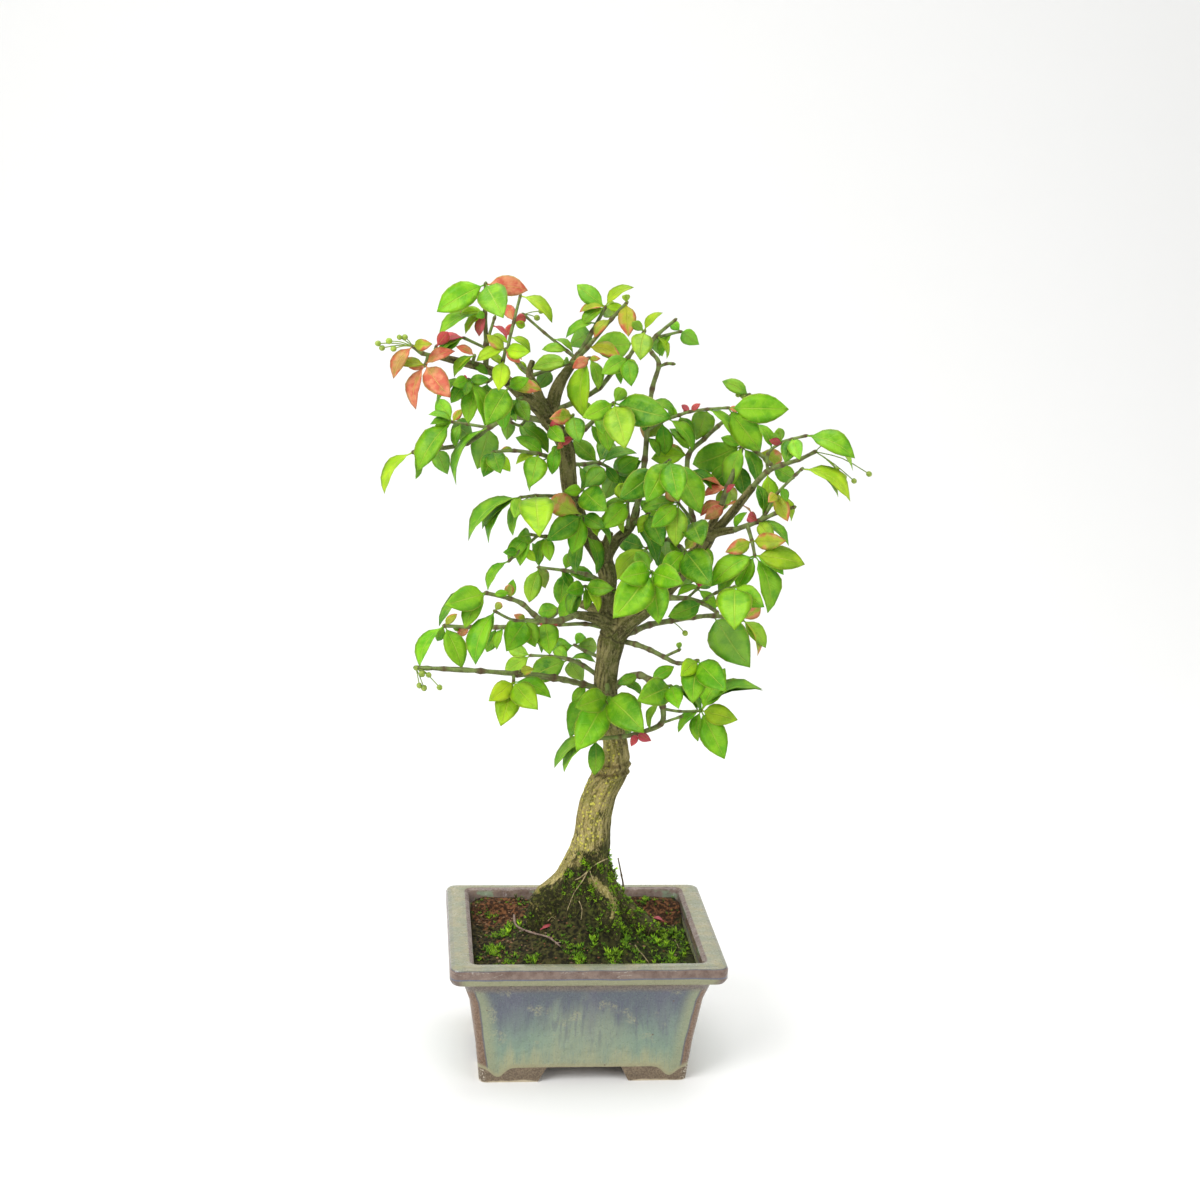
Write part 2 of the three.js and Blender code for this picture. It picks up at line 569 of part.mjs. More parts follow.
      [[98, 351, -16], ["R", 91, 352, 4], ["G", 93, 356, 5], ["P", 96, 359, 5]],
      [[103.5, 353, -18], ["D", 101, 340, 9], ["P", 109, 342, 8]],
      [[111, 355, -20], ["G", 139, 344, 11], ["P", 138, 336, 6], ["bud", 132, 354]]],
  ],
  right_low_tip: [
    [1.7, [75, 303, -7], [[88, 308, -15], ["R", 82, 311, 6], ["P", 97, 297, 8]],
      [[98, 313, -21]], [[107, 316, -26]]],
    [1.1, [88, 308, -15], [[92, 313, -17]],
      [[97, 323, -21], ["O", 104, 308, 8], ["O", 93, 318, 6], ["Y", 106, 308, 4]],
      [[107, 334, -27]],
      [[110, 337, -30], ["Y", 138, 320, 8], ["P", 131, 322, 5]]],
    [1.4, [82, 305.5, -12], [[85, 297, -20], ["O", 71, 290, 8], ["O", 104, 297, 9]],
      [[87, 289, -24], ["P", 70, 262, 9], ["G", 63, 272, 12], ["G", 97, 257, 11],
        ["Y", 115, 284, 12], ["G", 104, 279, 7]]],
  ],
  right_low_drop: [
    [1.8, [17, 240, 0], [[24, 238.5, -6]], [[32, 235.5, -12]], [[40, 231.5, -18]],
      [[48, 228, -23]],
      [[58.5, 229.5, -29], ["Y", 49, 221, 9], ["G", 56, 205, 14], ["G", 76, 212, 14]]],
    [0.9, [40, 231.5, -18], [[48, 235.5, -20], ["P", 48, 240, 3]]],
  ],
  right_low_back: [
    [2.1, [16, 243, 2], [[23, 246, 6]], [[31, 249.5, 10]],
      [[43, 252, 14], ["bud", 51, 245]], [[55, 254, 18]],
      [[66, 255, 20], ["D", 87, 225, 21]],
      [[82, 253, 22], ["P", 96, 237, 8], ["O", 92, 260, 7]]],
  ],
  right_low_front: [
    [1.9, [37, 268, -6], [[42, 265, -12]], [[51, 264.5, -20]],
      [[60, 262, -27], ["D", 41, 254, 10]], [[68, 257, -32]]],
    [1.1, [59, 262.5, -26], [[67, 268, -32]],
      [[77, 271.5, -38], ["G", 78, 247, 18], ["G", 94, 260, 11], ["Y", 67, 260, 7]]],
    [0.9, [51, 264.5, -20], [[57, 270.5, -22], ["R", 58, 274, 3]]],
  ],
  low_arch: [
    [2.2, [13.5, 214, -1], [[20, 219.5, -9]], [[27, 221, -14], ["D", 15, 216, 6]],
      [[33, 218, -19], ["G", 46, 226, 7]], [[38, 212, -22]], [[40.5, 203, -22]],
      [[40, 193, -22]],
      [[27, 187.5, -21], ["R", 35, 183, 5], ["R", 24, 180, 4]],
      [[18, 185.5, -20]],
      [[4, 184.5, -19], ["P", -18, 167, 6], ["P", -13, 165, 6], ["D", 4, 163, 9]]],
    [1.2, [36, 214.5, -21], [[44.5, 215, -31], ["G", 26, 206, 15], ["G", 50, 202, 10],
      ["D", 52, 210, 5]]],
    [1, [40.6, 202, -22], [[50, 200.5, -19]],
      [[62, 201, -15], ["G", 75, 225, 12], ["G", 50, 188, 5], ["G", 61, 183, 6],
        ["G", 77, 173, 14], ["Y", 83, 196, 11], ["D", 96, 213, 7]]],
    [0.8, [40, 193.5, -22], [[51, 197.5, -26]]],
  ],
  low_back_right: [
    [1.1, [14, 192, 0], [[19, 197, 13], ["D", 22, 185, 8], ["G", 28, 206, 7]]],
  ],
  trunk_front_rosette: [
    [1.8, [9, 219, 0], [[10, 209, -16], ["G", 32, 189, 18], ["G", -6, 177, 17],
      ["G", -8, 202, 13], ["D", 14, 203, 4]]],
  ],
  winged_branch: [
    [1.9, [7, 212, 0], [[-4, 215.5, -6]], [[-20, 219, -10]], [[-40, 221, -13.5]],
      [[-60, 222.5, -17]], [[-80, 223.5, -20]],
      [[-95, 224, -22], ["bud", -88, 220], ["bud", -93, 214], ["bud", -82, 213]]],
    [1.2, [-42, 221, -13.8], [[-42, 216.5, -17], ["Y", -55, 205, 10], ["Y", -48, 191, 13],
      ["Y", -29, 200, 13], ["G", -21, 208, 8]]],
    [0.8, [-39, 221, -13.3], [[-38.5, 222.5, -16], ["O", -31, 224, 5]]],
  ],
  low_left_front: [
    [1.9, [-9, 254.5, -17], [[-17, 251.5, -24]], [[-26, 251, -30]], [[-32, 254.5, -34]],
      [[-38, 260, -38]], [[-45, 263, -42], ["G", -44, 274, 5], ["O", -46, 271, 5]],
      [[-58, 266, -48], ["G", -80, 259, 13], ["D", -83, 247, 6], ["G", -69, 246, 9]]],
    [1, [-28, 252, -31], [[-42, 251, -44]],
      [[-53, 256, -52], ["G", -63, 226, 11], ["O", -50, 261, 4], ["D", -57, 240, 6]]],
  ],
  low_left_back: [
    [1.9, [-7, 261, 18], [[-17, 258, 28], ["G", -30, 256, 8]], [[-26, 251, 38]],
      [[-40, 248, 46]],
      [[-52, 247, 50], ["D", -57, 233, 7]], [[-66, 247, 52], ["S", -73, 243, 5]],
      [[-80, 247.5, 53], ["G", -93, 224, 7], ["G", -70, 224, 11], ["O", -73, 254, 4],
        ["P", -84, 239, 5]]],
  ],
  low_left_broad: [
    [1.4, [8, 247, 0], [[-4, 249.5, -11]], [[-18, 249, -13], ["R", -29, 249, 6]],
      [[-26, 251, -15], ["G", -22, 232, 12]],
      [[-36, 251.5, -20], ["G", -47, 234, 14], ["G", -31, 236, 10], ["O", -43, 254, 4]]],
  ],
  low_left_dark: [
    [1.5, [6, 219, 2], [[-4, 226, 8]],
      [[-12, 229.5, 13], ["D", -33, 220, 13], ["P", -4, 217, 10], ["P", -20, 236, 7]],
      [[-22, 231, 20]],
      [[-33, 231.5, 26], ["P", -47, 222, 9], ["P", -46, 236, 7]]],
  ],
  low_left_curl: [
    [1.3, [7, 230, 2], [[-3, 234, 10]],
      [[-9, 237.5, 14], ["D", -22, 236, 10], ["G", -5, 244, 6], ["P", 3, 237, 9]]],
  ],
};

// How far each corky-winged spray's wings stand out, as a share of its radius.
const WINGED = { winged_branch: 0.75 };

// The tries for a leaf that would touch its neighbours: how far its tip is moved along the
// line of sight in mm, and how far the leaf is rolled in degrees.
const TRIES = [
  [0, 0], [-5, 0], [5, 0], [0, 25], [0, -25], [-10, 0], [10, 0], [-8, 25], [8, 25],
  [-8, -25], [8, -25], [-16, 0], [16, 0], [-14, 35], [14, 35], [-14, -35], [14, -35],
  [-22, 0], [22, 0], [-20, 45], [20, -45],
];

// Finds how a leaf is turned: the base is given, the tip is on the line of sight through the
// seen point, in front of or behind the base by as much as makes the leaf its full length,
// and the blade is rolled until it looks as wide as was seen, with its upper side up.
function leafPose(base, [, x, z, width], [shift, roll]) {
  const sight = new THREE.Vector3(x, 0, z).sub(EYE).normalize();
  const nearest = EYE.clone().addScaledVector(sight, base.clone().sub(EYE).dot(sight));
  const seenLength = nearest.distanceTo(base);
  const seenWidth = 1.08 * width * (base.y - EYE.y) / -EYE.y;
  const fullLength = Math.min(Math.max(seenLength, LEAF_RATIO * seenWidth), 2 * seenLength + 4);
  const depth = Math.sqrt(Math.max(fullLength ** 2 - seenLength ** 2, 0));
  const side = base.y > 8 ? 1 : -1;
  const tip = nearest.addScaledVector(sight, side * depth + shift);
  const along = tip.clone().sub(base);
  const length = along.length();
  along.normalize();
  const fullWidth = fullLength / LEAF_RATIO;
  const turn = Math.acos(Math.min(1, Math.max(seenWidth / fullWidth, 0.25)));
  const flat = along.clone().cross(sight).normalize();
  const deep = along.clone().cross(flat);
  let best = null;
  for (const sign of [1, -1]) {
    const angle = sign * (turn + THREE.MathUtils.degToRad(roll));
    const across = flat.clone().multiplyScalar(Math.cos(angle))
      .addScaledVector(deep, Math.sin(angle));
    const normal = across.clone().cross(along);
    const lift = normal.z - 0.3 * normal.y;
    if (!best || Math.abs(lift) > best.lift) {
      const facing = lift < 0 ? -1 : 1;
      best = {
        lift: Math.abs(lift),
        across: across.multiplyScalar(facing),
        normal: normal.multiplyScalar(facing),
      };
    }
  }
  const sag = length * (0.07 + 0.13 * Math.sin(turn));
  return { base, along, length, width: fullWidth, sag, across: best.across, normal: best.normal };
}

// The rings of a leaf: its foot, which starts as a point inside the twig so that leaves of one
// node meet only there, then a blade folded along its rib and arched over.
function leafRings(pose, bladeOnly = false) {
  const { base, along, length, width, sag, across, normal } = pose;
  const at = (t, half, rib, fold) => {
    const slope = 4 * sag * (1 - 2 * t);
    const rise = 4 * sag * t * (1 - t);
    const middle = base.clone().addScaledVector(along, length * t).addScaledVector(normal, rise);
    const up = normal.clone().multiplyScalar(length).addScaledVector(along, -slope).normalize();
    return [
      middle.clone().addScaledVector(across, -half).addScaledVector(up, fold * half),
      middle.clone().addScaledVector(up, rib),
      middle.clone().addScaledVector(across, half).addScaledVector(up, fold * half),
      middle.clone().addScaledVector(up, -rib),
    ];
  };
  const small = length < TINY_LENGTH ? TINY_BLADE : SMALL_BLADE;
  const stations = length < SMALL_LENGTH ? small : BLADE;
  const blade = stations.map(([t, share]) => at(t, share * width / 2, RIB_HALF, FOLD));
  const tip = [base.clone().addScaledVector(along, length)];
  if (bladeOnly) return [...blade, tip];
  return [[base], at(FOOT.at, FOOT.half, FOOT.rib, 0), ...blade, tip];
}

// A flower bud on its thin stalk, in one piece: the stalk runs from the node to the seen
// point, and swells into the bud.
function budSolid(base, [, x, z]) {
  const ray = new THREE.Vector3(x, 0, z).sub(EYE).normalize();
  const bud = EYE.clone().addScaledVector(ray, base.clone().sub(EYE).dot(ray));
  const along = bud.clone().sub(base).normalize();
  const rows = [
    [base, 0.45], [bud.clone().addScaledVector(along, -BUD_R), 0.42],
    [bud.clone().addScaledVector(along, -0.35 * BUD_R), BUD_R],
    [bud.clone().addScaledVector(along, 0.5 * BUD_R), 0.85 * BUD_R],
    [bud.clone().addScaledVector(along, BUD_R), 0.3 * BUD_R],
  ];
  return tube(rows.map(([p, radius]) => Object.assign(p.clone(), { radius })), 3);
}

// Solids already placed, by the node they belong to, for the clearance test.
const placed = [];

function boxesMeet(a, b, margin) {
  for (let axis = 0; axis < 3; axis++) {
    if (a.min[axis] - margin > b.max[axis] || b.min[axis] - margin > a.max[axis]) return false;
  }
  return true;
}

function place(owner, body, blade = null) {
  placed.push({ owner, body, box: body.boundingBox(), blade });
}

// True if a solid keeps the clearance from every solid that isn't its owner's.
function isClear(owner, body) {
  const box = body.boundingBox();
  return placed.every((other) => other.owner === owner
    || !boxesMeet(box, other.box, SPRAY_GAP)
    || body.minGap(other.body, 1) >= SPRAY_GAP);
}

// True if a blade crosses another blade of its own spray.
function crossesOwn(owner, blade) {
  const box = blade.boundingBox();
  return placed.some((other) => other.owner === owner && other.blade
    && boxesMeet(box, other.box, 0)
    && blade.intersect(other.blade).volume() > 0.5);
}

// A leaf in the first of its tries that clears its neighbours and doesn't cross a sister
// leaf, or else in the first that clears its neighbours; a leaf with neither is left off.
function placeLeaf(owner, base, row) {
  let second = null;
  for (const attempt of TRIES) {
    const pose = leafPose(base, row, attempt);
    const body = solid(loft(leafRings(pose)));
    if (!isClear(owner, body)) continue;
    const blade = solid(loft(leafRings(pose, true)));
    if (!crossesOwn(owner, blade)) {
      place(owner, body, blade);
      return body;
    }
    second ??= { body, blade };
  }
  if (!second) return null;
  place(owner, second.body, second.blade);
  return second.body;
}

// The points of a stem, with radii that taper from the given one. It starts cutBack along its
// first stretch, and its end bud reaches a little past the last node.
function stemPoints(radius, start, nodes, cutBack) {
  const points = [start, ...nodes.map(([at]) => at)].map(seen);
  if (cutBack > 0) {
    const first = points[1].clone().sub(points[0]).normalize();
    points[0].addScaledVector(first, cutBack);
  }
  const [beforeLast, last] = points.slice(-2);
  last.addScaledVector(last.clone().sub(beforeLast).normalize(), TWIG_END);
  return points.map((p, i) =>
    Object.assign(p, { radius: Math.max(radius * (1 - 0.42 * i / (points.length - 1)), 0.9) }));
}

function stemSolid(owner, [radius, start, ...nodes], cutBack = 0, wings = 0) {
  const points = stemPoints(radius, start, nodes, cutBack);
  const sides = 3 + (radius > 1.45) + (radius > 1.95);
  return tube(points, sides, wings);
}

// How far along its first stem a spray starts: just far enough to clear the wood.
function seatOf(owner, stem, wood) {
  const [, start, ...nodes] = stem;
  const reach = seen(nodes[0][0]).distanceTo(seen(start));
  for (let cutBack = 0; cutBack < reach - 0.5; cutBack += 0.05) {
    const twig = stemSolid(owner, stem, cutBack, WINGED[owner]);
    if (wood.minGap(twig, 1) >= GAP) return cutBack;
  }
  throw new Error(owner + ": its first node is too near the wood");
}

// The soil and what lies on it.

// Height of the soil: level at the wall, and a mound round the trunk.
function soilHeight(x, y) {
  const away = Math.hypot(x - TRUNK[0][0], y) / MOUND_REACH;
  const rise = away < 1 ? (1 - away ** 2) ** 1.5 : 0;
  return SOIL_EDGE_Z + MOUND_H * rise;
}

// A rounded rectangle with extra points along its sides, at a fixed height or on the soil.
function soilRing(halfX, halfY, z, radius, lump = () => 0) {
  const corners = roundedRing(halfX, halfY, 0, radius);
  const ring = [];
  corners.forEach((corner, i) => {
    ring.push(corner.clone());
    const next = corners[(i + 1) % corners.length];
    if (i % 3 === 2)
      for (let j = 1; j <= 3; j++) ring.push(corner.clone().lerp(next, j / 4));
  });
  for (const p of ring) p.z = z ?? soilHeight(p.x, p.y) + lump();
  return ring;
}

function buildSoil() {
  const inset = GAP + 0.05;
  const draw = drawer(41);
  const lump = () => 1.6 * (draw() - 0.5);
  const walls = INNER_PROFILE.slice(2).reverse();
  const top = INNER_PROFILE[1];
  const rings = walls.map(([x, y, z]) =>
    soilRing(x - inset, y - inset, z + (z === FLOOR_Z ? GAP : 0), CORNER_R));
  const [lowX, lowY, lowZ] = walls.at(-1);
  const share = (SOIL_EDGE_Z - lowZ) / (top[2] - lowZ);
  const edgeX = THREE.MathUtils.lerp(lowX, top[0], share) - inset;
  const edgeY = THREE.MathUtils.lerp(lowY, top[1], share) - inset;
  rings.push(soilRing(edgeX, edgeY, SOIL_EDGE_Z, CORNER_R));
  for (const scale of [0.8, 0.55, 0.34]) {
    const radius = THREE.MathUtils.lerp(edgeY * scale * 0.9, CORNER_R, scale ** 2);
    rings.push(soilRing(edgeX * scale, edgeY * scale, null, radius, lump));
  }
  const { half, thick } = SCREEN;
  const room = half + GAP;
  let soil = solid(loft(rings)).subtract(solid(loft(trunkRings(GAP + 0.1))));
  for (const x of [-DRAIN_X, DRAIN_X]) {
    const top = FLOOR_Z + 2 * GAP + thick;
    soil = soil.subtract(boxSolid(x - room, x + room, -room, room, FLOOR_Z - 1, top));
  }
  return soil.subtract(buildStalk(1.5 * GAP));
}

// How high above the soil a loose piece starts before it is lowered onto what is under it.
const DROP_FROM = 40;

// A dead twig that lies on the soil, along points as [x, y].
const DEAD_TWIG = { path: [[-36.5, 24], [-36, 5], [-28, -11], [-20, -21], [-14, -29]], radius: 0.9 };

function buildDeadTwig(...under) {
  const { path, radius } = DEAD_TWIG;
  const points = path.map(([x, y]) => {
    const point = new THREE.Vector3(x, y, soilHeight(x, y) + radius);
    return Object.assign(point, { radius });
  });
  return settled(tube(points, 5), ...under);
}

// Lowers a loose solid from well above until it is one gap above what lies under it.
function settled(body, ...under) {
  let resting = body.translate([0, 0, DROP_FROM]);
  for (const step of [2, 0.4, 0.05]) {
    for (let drop = 0; drop < DROP_FROM + 10; drop += step) {
      const lower = resting.translate([0, 0, -step]);
      if (under.some((other) => lower.minGap(other, 2) < GAP)) break;
      resting = lower;
    }
  }
  return resting;
}

// A dry grass stalk that stands in a hole in the soil behind the trunk, as [x, y, z].
const STALK = { path: [[26.5, 16, 64], [25, 15.5, 90], [23.6, 15, 98], [21.2, 15, 108.6]], radius: 0.65 };

function buildStalk(extra = 0) {
  const points = STALK.path.map(([x, y, z], i) => {
    const point = new THREE.Vector3(x, y, i === 0 ? z - extra : z);
    return Object.assign(point, { radius: STALK.radius + extra });
  });
  return tube(points, 4);
}

// Two fallen leaves as [x, y, heading in degrees, length, width].
const FALLEN = [
  { name: "fallen_leaf_left", at: [-24, -12], heading: 12, length: 9, width: 4.5 },
  { name: "fallen_leaf_right", at: [50, 19], heading: 160, length: 8, width: 4 },
];

function buildFallenLeaf({ at: [x, y], heading, length, width }, ...under) {
  const angle = THREE.MathUtils.degToRad(heading);
  const base = new THREE.Vector3(x, y, soilHeight(x, y));
  const along = new THREE.Vector3(Math.cos(angle), Math.sin(angle), 0.12).normalize();
  const across = new THREE.Vector3(0, 0, 1).cross(along).normalize().negate();
  const normal = across.clone().cross(along);
  const pose = { base, along, length, width, sag: 1.2, across, normal };
  return settled(solid(loft(leafRings(pose))), ...under);
}

// Putting it together.

const bonsai = new THREE.Group();

const pot = buildPot();
const soil = buildSoil();
const trunkBody = solid(loft(trunkRings()));
const limbs = Object.entries(LIMBS).map(([name, points]) =>
  tube(points, name === "leader" || name === "rightLimb" ? 6 : 4));
const wood = joined([trunkBody, ...limbs]);

bonsai.add(meshOf("pot", pot, COLOR.glaze, 0.35));
bonsai.add(meshOf("drain_screen_left", buildScreen(-DRAIN_X), COLOR.screen, 0.6));
bonsai.add(meshOf("drain_screen_right", buildScreen(DRAIN_X), COLOR.screen, 0.6));
bonsai.add(meshOf("soil", soil, COLOR.soil, 0.95));

for (const body of [trunkBody, ...limbs]) place("trunk", body);
place("soil", soil);
place("pot", pot);
place("dry_stalk", buildStalk());

// All twigs are placed before any leaf, so that every leaf keeps clear of every twig.
const twigs = {};
for (const [name, stems] of Object.entries(SPRAYS)) {
  const cutBack = seatOf(name, stems[0], wood);
  const [first, ...sides] = stems;
  twigs[name] = [
    stemSolid(name, first, cutBack, WINGED[name]),
    ...sides.map((stem) => stemSolid(name, stem)),
  ];
  for (const twig of twigs[name]) place(name, twig);
}

for (const [name, stems] of Object.entries(SPRAYS)) {
  const pieces = [...twigs[name]];
  const tints = {};
  for (const [, , ...nodes] of stems) {
    for (const [at, ...rows] of nodes) {
      const base = seen(at);
      for (const row of rows) {
        if (row[0] === "bud") {
          pieces.push(budSolid(base, row));
          continue;
        }
        const leaf = placeLeaf(name, base, row);
        if (!leaf) continue;
        pieces.push(leaf);
        tints[row[0]] = (tints[row[0]] ?? 0) + leaf.surfaceArea();
      }
    }
  }
  const [main] = Object.entries(tints).sort((a, b) => b[1] - a[1])[0] ?? ["G"];
  bonsai.add(meshOf("spray_" + name, joined(pieces), COLOR[main], 0.55));
}

bonsai.add(meshOf("trunk", wood, COLOR.bark, 0.9));
bonsai.add(meshOf("dead_twig", buildDeadTwig(soil, trunkBody), COLOR.straw, 0.9));
bonsai.add(meshOf("dry_stalk", buildStalk(), COLOR.straw, 0.9));
for (const leaf of FALLEN)
  bonsai.add(meshOf(leaf.name, buildFallenLeaf(leaf, soil, trunkBody), COLOR.R, 0.7));

const bounds = new THREE.Box3().setFromObject(bonsai);
const middle = bounds.getCenter(new THREE.Vector3());
bonsai.position.set(-middle.x, -middle.y, -bounds.min.z);

export default bonsai;
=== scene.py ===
"""Winged euonymus bonsai in its glazed pot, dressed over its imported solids.

The tree is described as it looks from one eye point, in millimetres round the middle of the
pot's foot, by the rows and the leaf rule of its solids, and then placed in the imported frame.
"""

import json
import logging
import math
from collections.abc import Callable, Iterable, Iterator
from dataclasses import dataclass, field
from enum import Enum

import bpy
import numpy as np
from mathutils import Matrix, Vector, noise
from mathutils.bvhtree import BVHTree
from mathutils.kdtree import KDTree

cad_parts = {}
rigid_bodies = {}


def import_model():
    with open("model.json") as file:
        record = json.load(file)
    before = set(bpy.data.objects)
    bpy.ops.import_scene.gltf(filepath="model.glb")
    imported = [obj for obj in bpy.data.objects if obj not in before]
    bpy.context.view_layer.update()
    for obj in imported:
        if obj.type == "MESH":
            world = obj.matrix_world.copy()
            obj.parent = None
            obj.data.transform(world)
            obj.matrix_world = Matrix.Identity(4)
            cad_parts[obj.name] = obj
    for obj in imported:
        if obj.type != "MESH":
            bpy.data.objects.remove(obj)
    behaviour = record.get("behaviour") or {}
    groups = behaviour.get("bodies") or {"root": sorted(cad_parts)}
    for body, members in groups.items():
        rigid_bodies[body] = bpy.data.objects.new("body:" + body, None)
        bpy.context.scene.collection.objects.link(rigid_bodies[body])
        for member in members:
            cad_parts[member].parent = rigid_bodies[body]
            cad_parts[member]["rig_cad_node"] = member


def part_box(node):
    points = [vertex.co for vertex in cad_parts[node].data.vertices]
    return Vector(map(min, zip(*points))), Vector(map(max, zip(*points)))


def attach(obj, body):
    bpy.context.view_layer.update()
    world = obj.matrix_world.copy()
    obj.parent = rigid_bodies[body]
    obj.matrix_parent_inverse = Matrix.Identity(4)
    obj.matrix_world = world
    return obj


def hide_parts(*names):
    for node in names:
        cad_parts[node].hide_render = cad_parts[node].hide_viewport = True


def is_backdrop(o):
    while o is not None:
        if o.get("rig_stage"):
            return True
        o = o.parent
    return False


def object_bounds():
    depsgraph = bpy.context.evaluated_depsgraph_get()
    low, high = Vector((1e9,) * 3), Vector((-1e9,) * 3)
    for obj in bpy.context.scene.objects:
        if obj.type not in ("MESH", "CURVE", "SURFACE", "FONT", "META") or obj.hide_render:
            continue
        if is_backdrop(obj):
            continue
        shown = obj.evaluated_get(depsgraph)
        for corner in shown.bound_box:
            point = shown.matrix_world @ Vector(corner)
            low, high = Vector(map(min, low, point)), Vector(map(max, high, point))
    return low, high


LOG = logging.getLogger("bonsai")

MM = 0.001
Array = np.ndarray
Item = bpy.types.Object
Rng = np.random.Generator
Colour = tuple[float, float, float]
Rows = tuple[tuple[float, ...], ...]


def numbers(text: str) -> list[float]:
    """Reads numbers that are joined by commas."""
    return [float(part) for part in text.split(",")]


def rows_of(text: str) -> list[list[float]]:
    """Reads rows of numbers with spaces between them."""
    return [numbers(word) for word in text.split()]


def lines_of(text: str) -> list[str]:
    """Splits text into lines, and joins a line that starts with two spaces to the last."""
    return text.strip().replace("\n  ", " ").splitlines()


# The eye point from which the tree's rows are read, in millimetres.
EYE = np.array([-102.0, -983.0, 500.0])

# Pot: half sizes at the rim, the outer profile as (inset, height) and the inner wall as
# (half x, half y, height).
POT_HALF = (75.0, 60.0)
OUTER_PROFILE = (
    (17.6, 0.0), (15.1, 24.0), (11.1, 51.0), (9.1, 57.0), (7.8, 61.0), (5.0, 63.6),
    (1.2, 64.8), (0.0, 67.2), (0.0, 72.6), (0.8, 74.3), (2.7, 75.0),
)
INNER_PROFILE = (
    (64.0, 53.6, 75.0), (62.0, 51.6, 73.2), (60.6, 46.4, 61.0), (56.6, 41.6, 39.0),
    (53.0, 38.0, 14.0),
)

# Trunk: x,z,y,radius as seen, and each root's angle, spread and reach at ROOT_LEVELS.
TRUNK = rows_of(
    "2,48,0,8 2,62,0,12 2,74,0,15 2,84,0,14.5 2,91,0,13.6 2,98,0,13 2,105,0,12.6 2,112,0,12 "
    "3.3,121,0,11 4.3,131,0,10 5,141,0,9.5 7,151,0,9.6 10.6,160,0,9.7 14,167,0,8.6 "
    "15.4,177,0,7.1 13.4,189,0,6.6 10.2,203,0,6.5 8.7,216,0,6.4 9.4,229,0,6.5 11.4,240,0,7.4 "
    "12.4,248,0,6.4"
)
ROOT_LEVELS = (48, 62, 74, 84, 91, 98, 105, 112, 121)
ROOTS = (
    (182, 22, (2, 13, 18, 18.5, 18.5, 14, 5.5, 2, 0.5)),
    (-4, 20, (4, 20, 29, 17.5, 11, 6, 3, 1, 0)),
    (-57, 20, (4, 14, 15, 14, 12.5, 8.5, 4.5, 2, 0)),
    (-118, 24, (1, 7, 8, 7, 5.5, 3, 1.5, 0, 0)),
    (62, 22, (2, 11, 15, 11, 7, 4, 2, 0, 0)),
    (122, 22, (1, 9, 12, 9, 6, 3, 1, 0, 0)),
)

# The limbs that are one piece with the trunk: name, then x,z,y,radius of each point.
LIMBS = """
leader 12,243,0,6 8,256,2,5.2 7,266,4,4.8 7.5,275,5,4.9 4.5,285,6,5 -3,296,6,4.3 -9,308,4,4
  -14,320,2,4.2 -16,332,0,4.4 -17.5,345,0,4.4 -22,354,2,4.4 -28,361,4,4.6
topLeft -25,357,3,4.2 -33,367,0,4 -41,373,-5,3.6 -48,379,-9,3 -55,384,-13,2.6 -63,387,-17,2.3
  -74,389.5,-21,2 -85,392,-25,1.7
topRight -25,356,3,4 -25,370,8,3.6 -22,380,12,3.2 -17,388,15,2.4 -12,396,18,1.9
topBack -28,362,4,3 -34,376,8,2.4 -38,384,13,2.1 -36.5,391.5,15,1.5
cutStub 4,287,5,3 5.5,293,5,2.4 7.5,300.5,3,2.1
rightLeader 5,284,6,3.6 8,291,9,3.4 12,297,13,3 18,303,16,2.6 20.5,309,18,2.3 21.5,315,19,2.1
rightLimb 12,243,0,6.2 20,252,-3,5.8 28,259,-5,5.4 36,267,-6,5.2 43,275,-5,5 50,284,-3,4.6
  57,292,0,4.3 62,300.5,3,3.6
rightFork 60,297,3,3 68,306,2,2.6 76,316,0,2.4 84,327,-3,2.1
rightBack 59,296,3,2.9 64,309,8,2.2 67,316,11,2
rightFront 60,298.5,2,2.6 67,301.5,-2,2.2 75,303,-7,1.9
lowLeftFront 11,248,0,4.4 1,253,-9,3 -9,254.5,-17,2.2
lowLeftBack 9,250,0,4 2,257,9,3 -7,261,18,2.2
"""

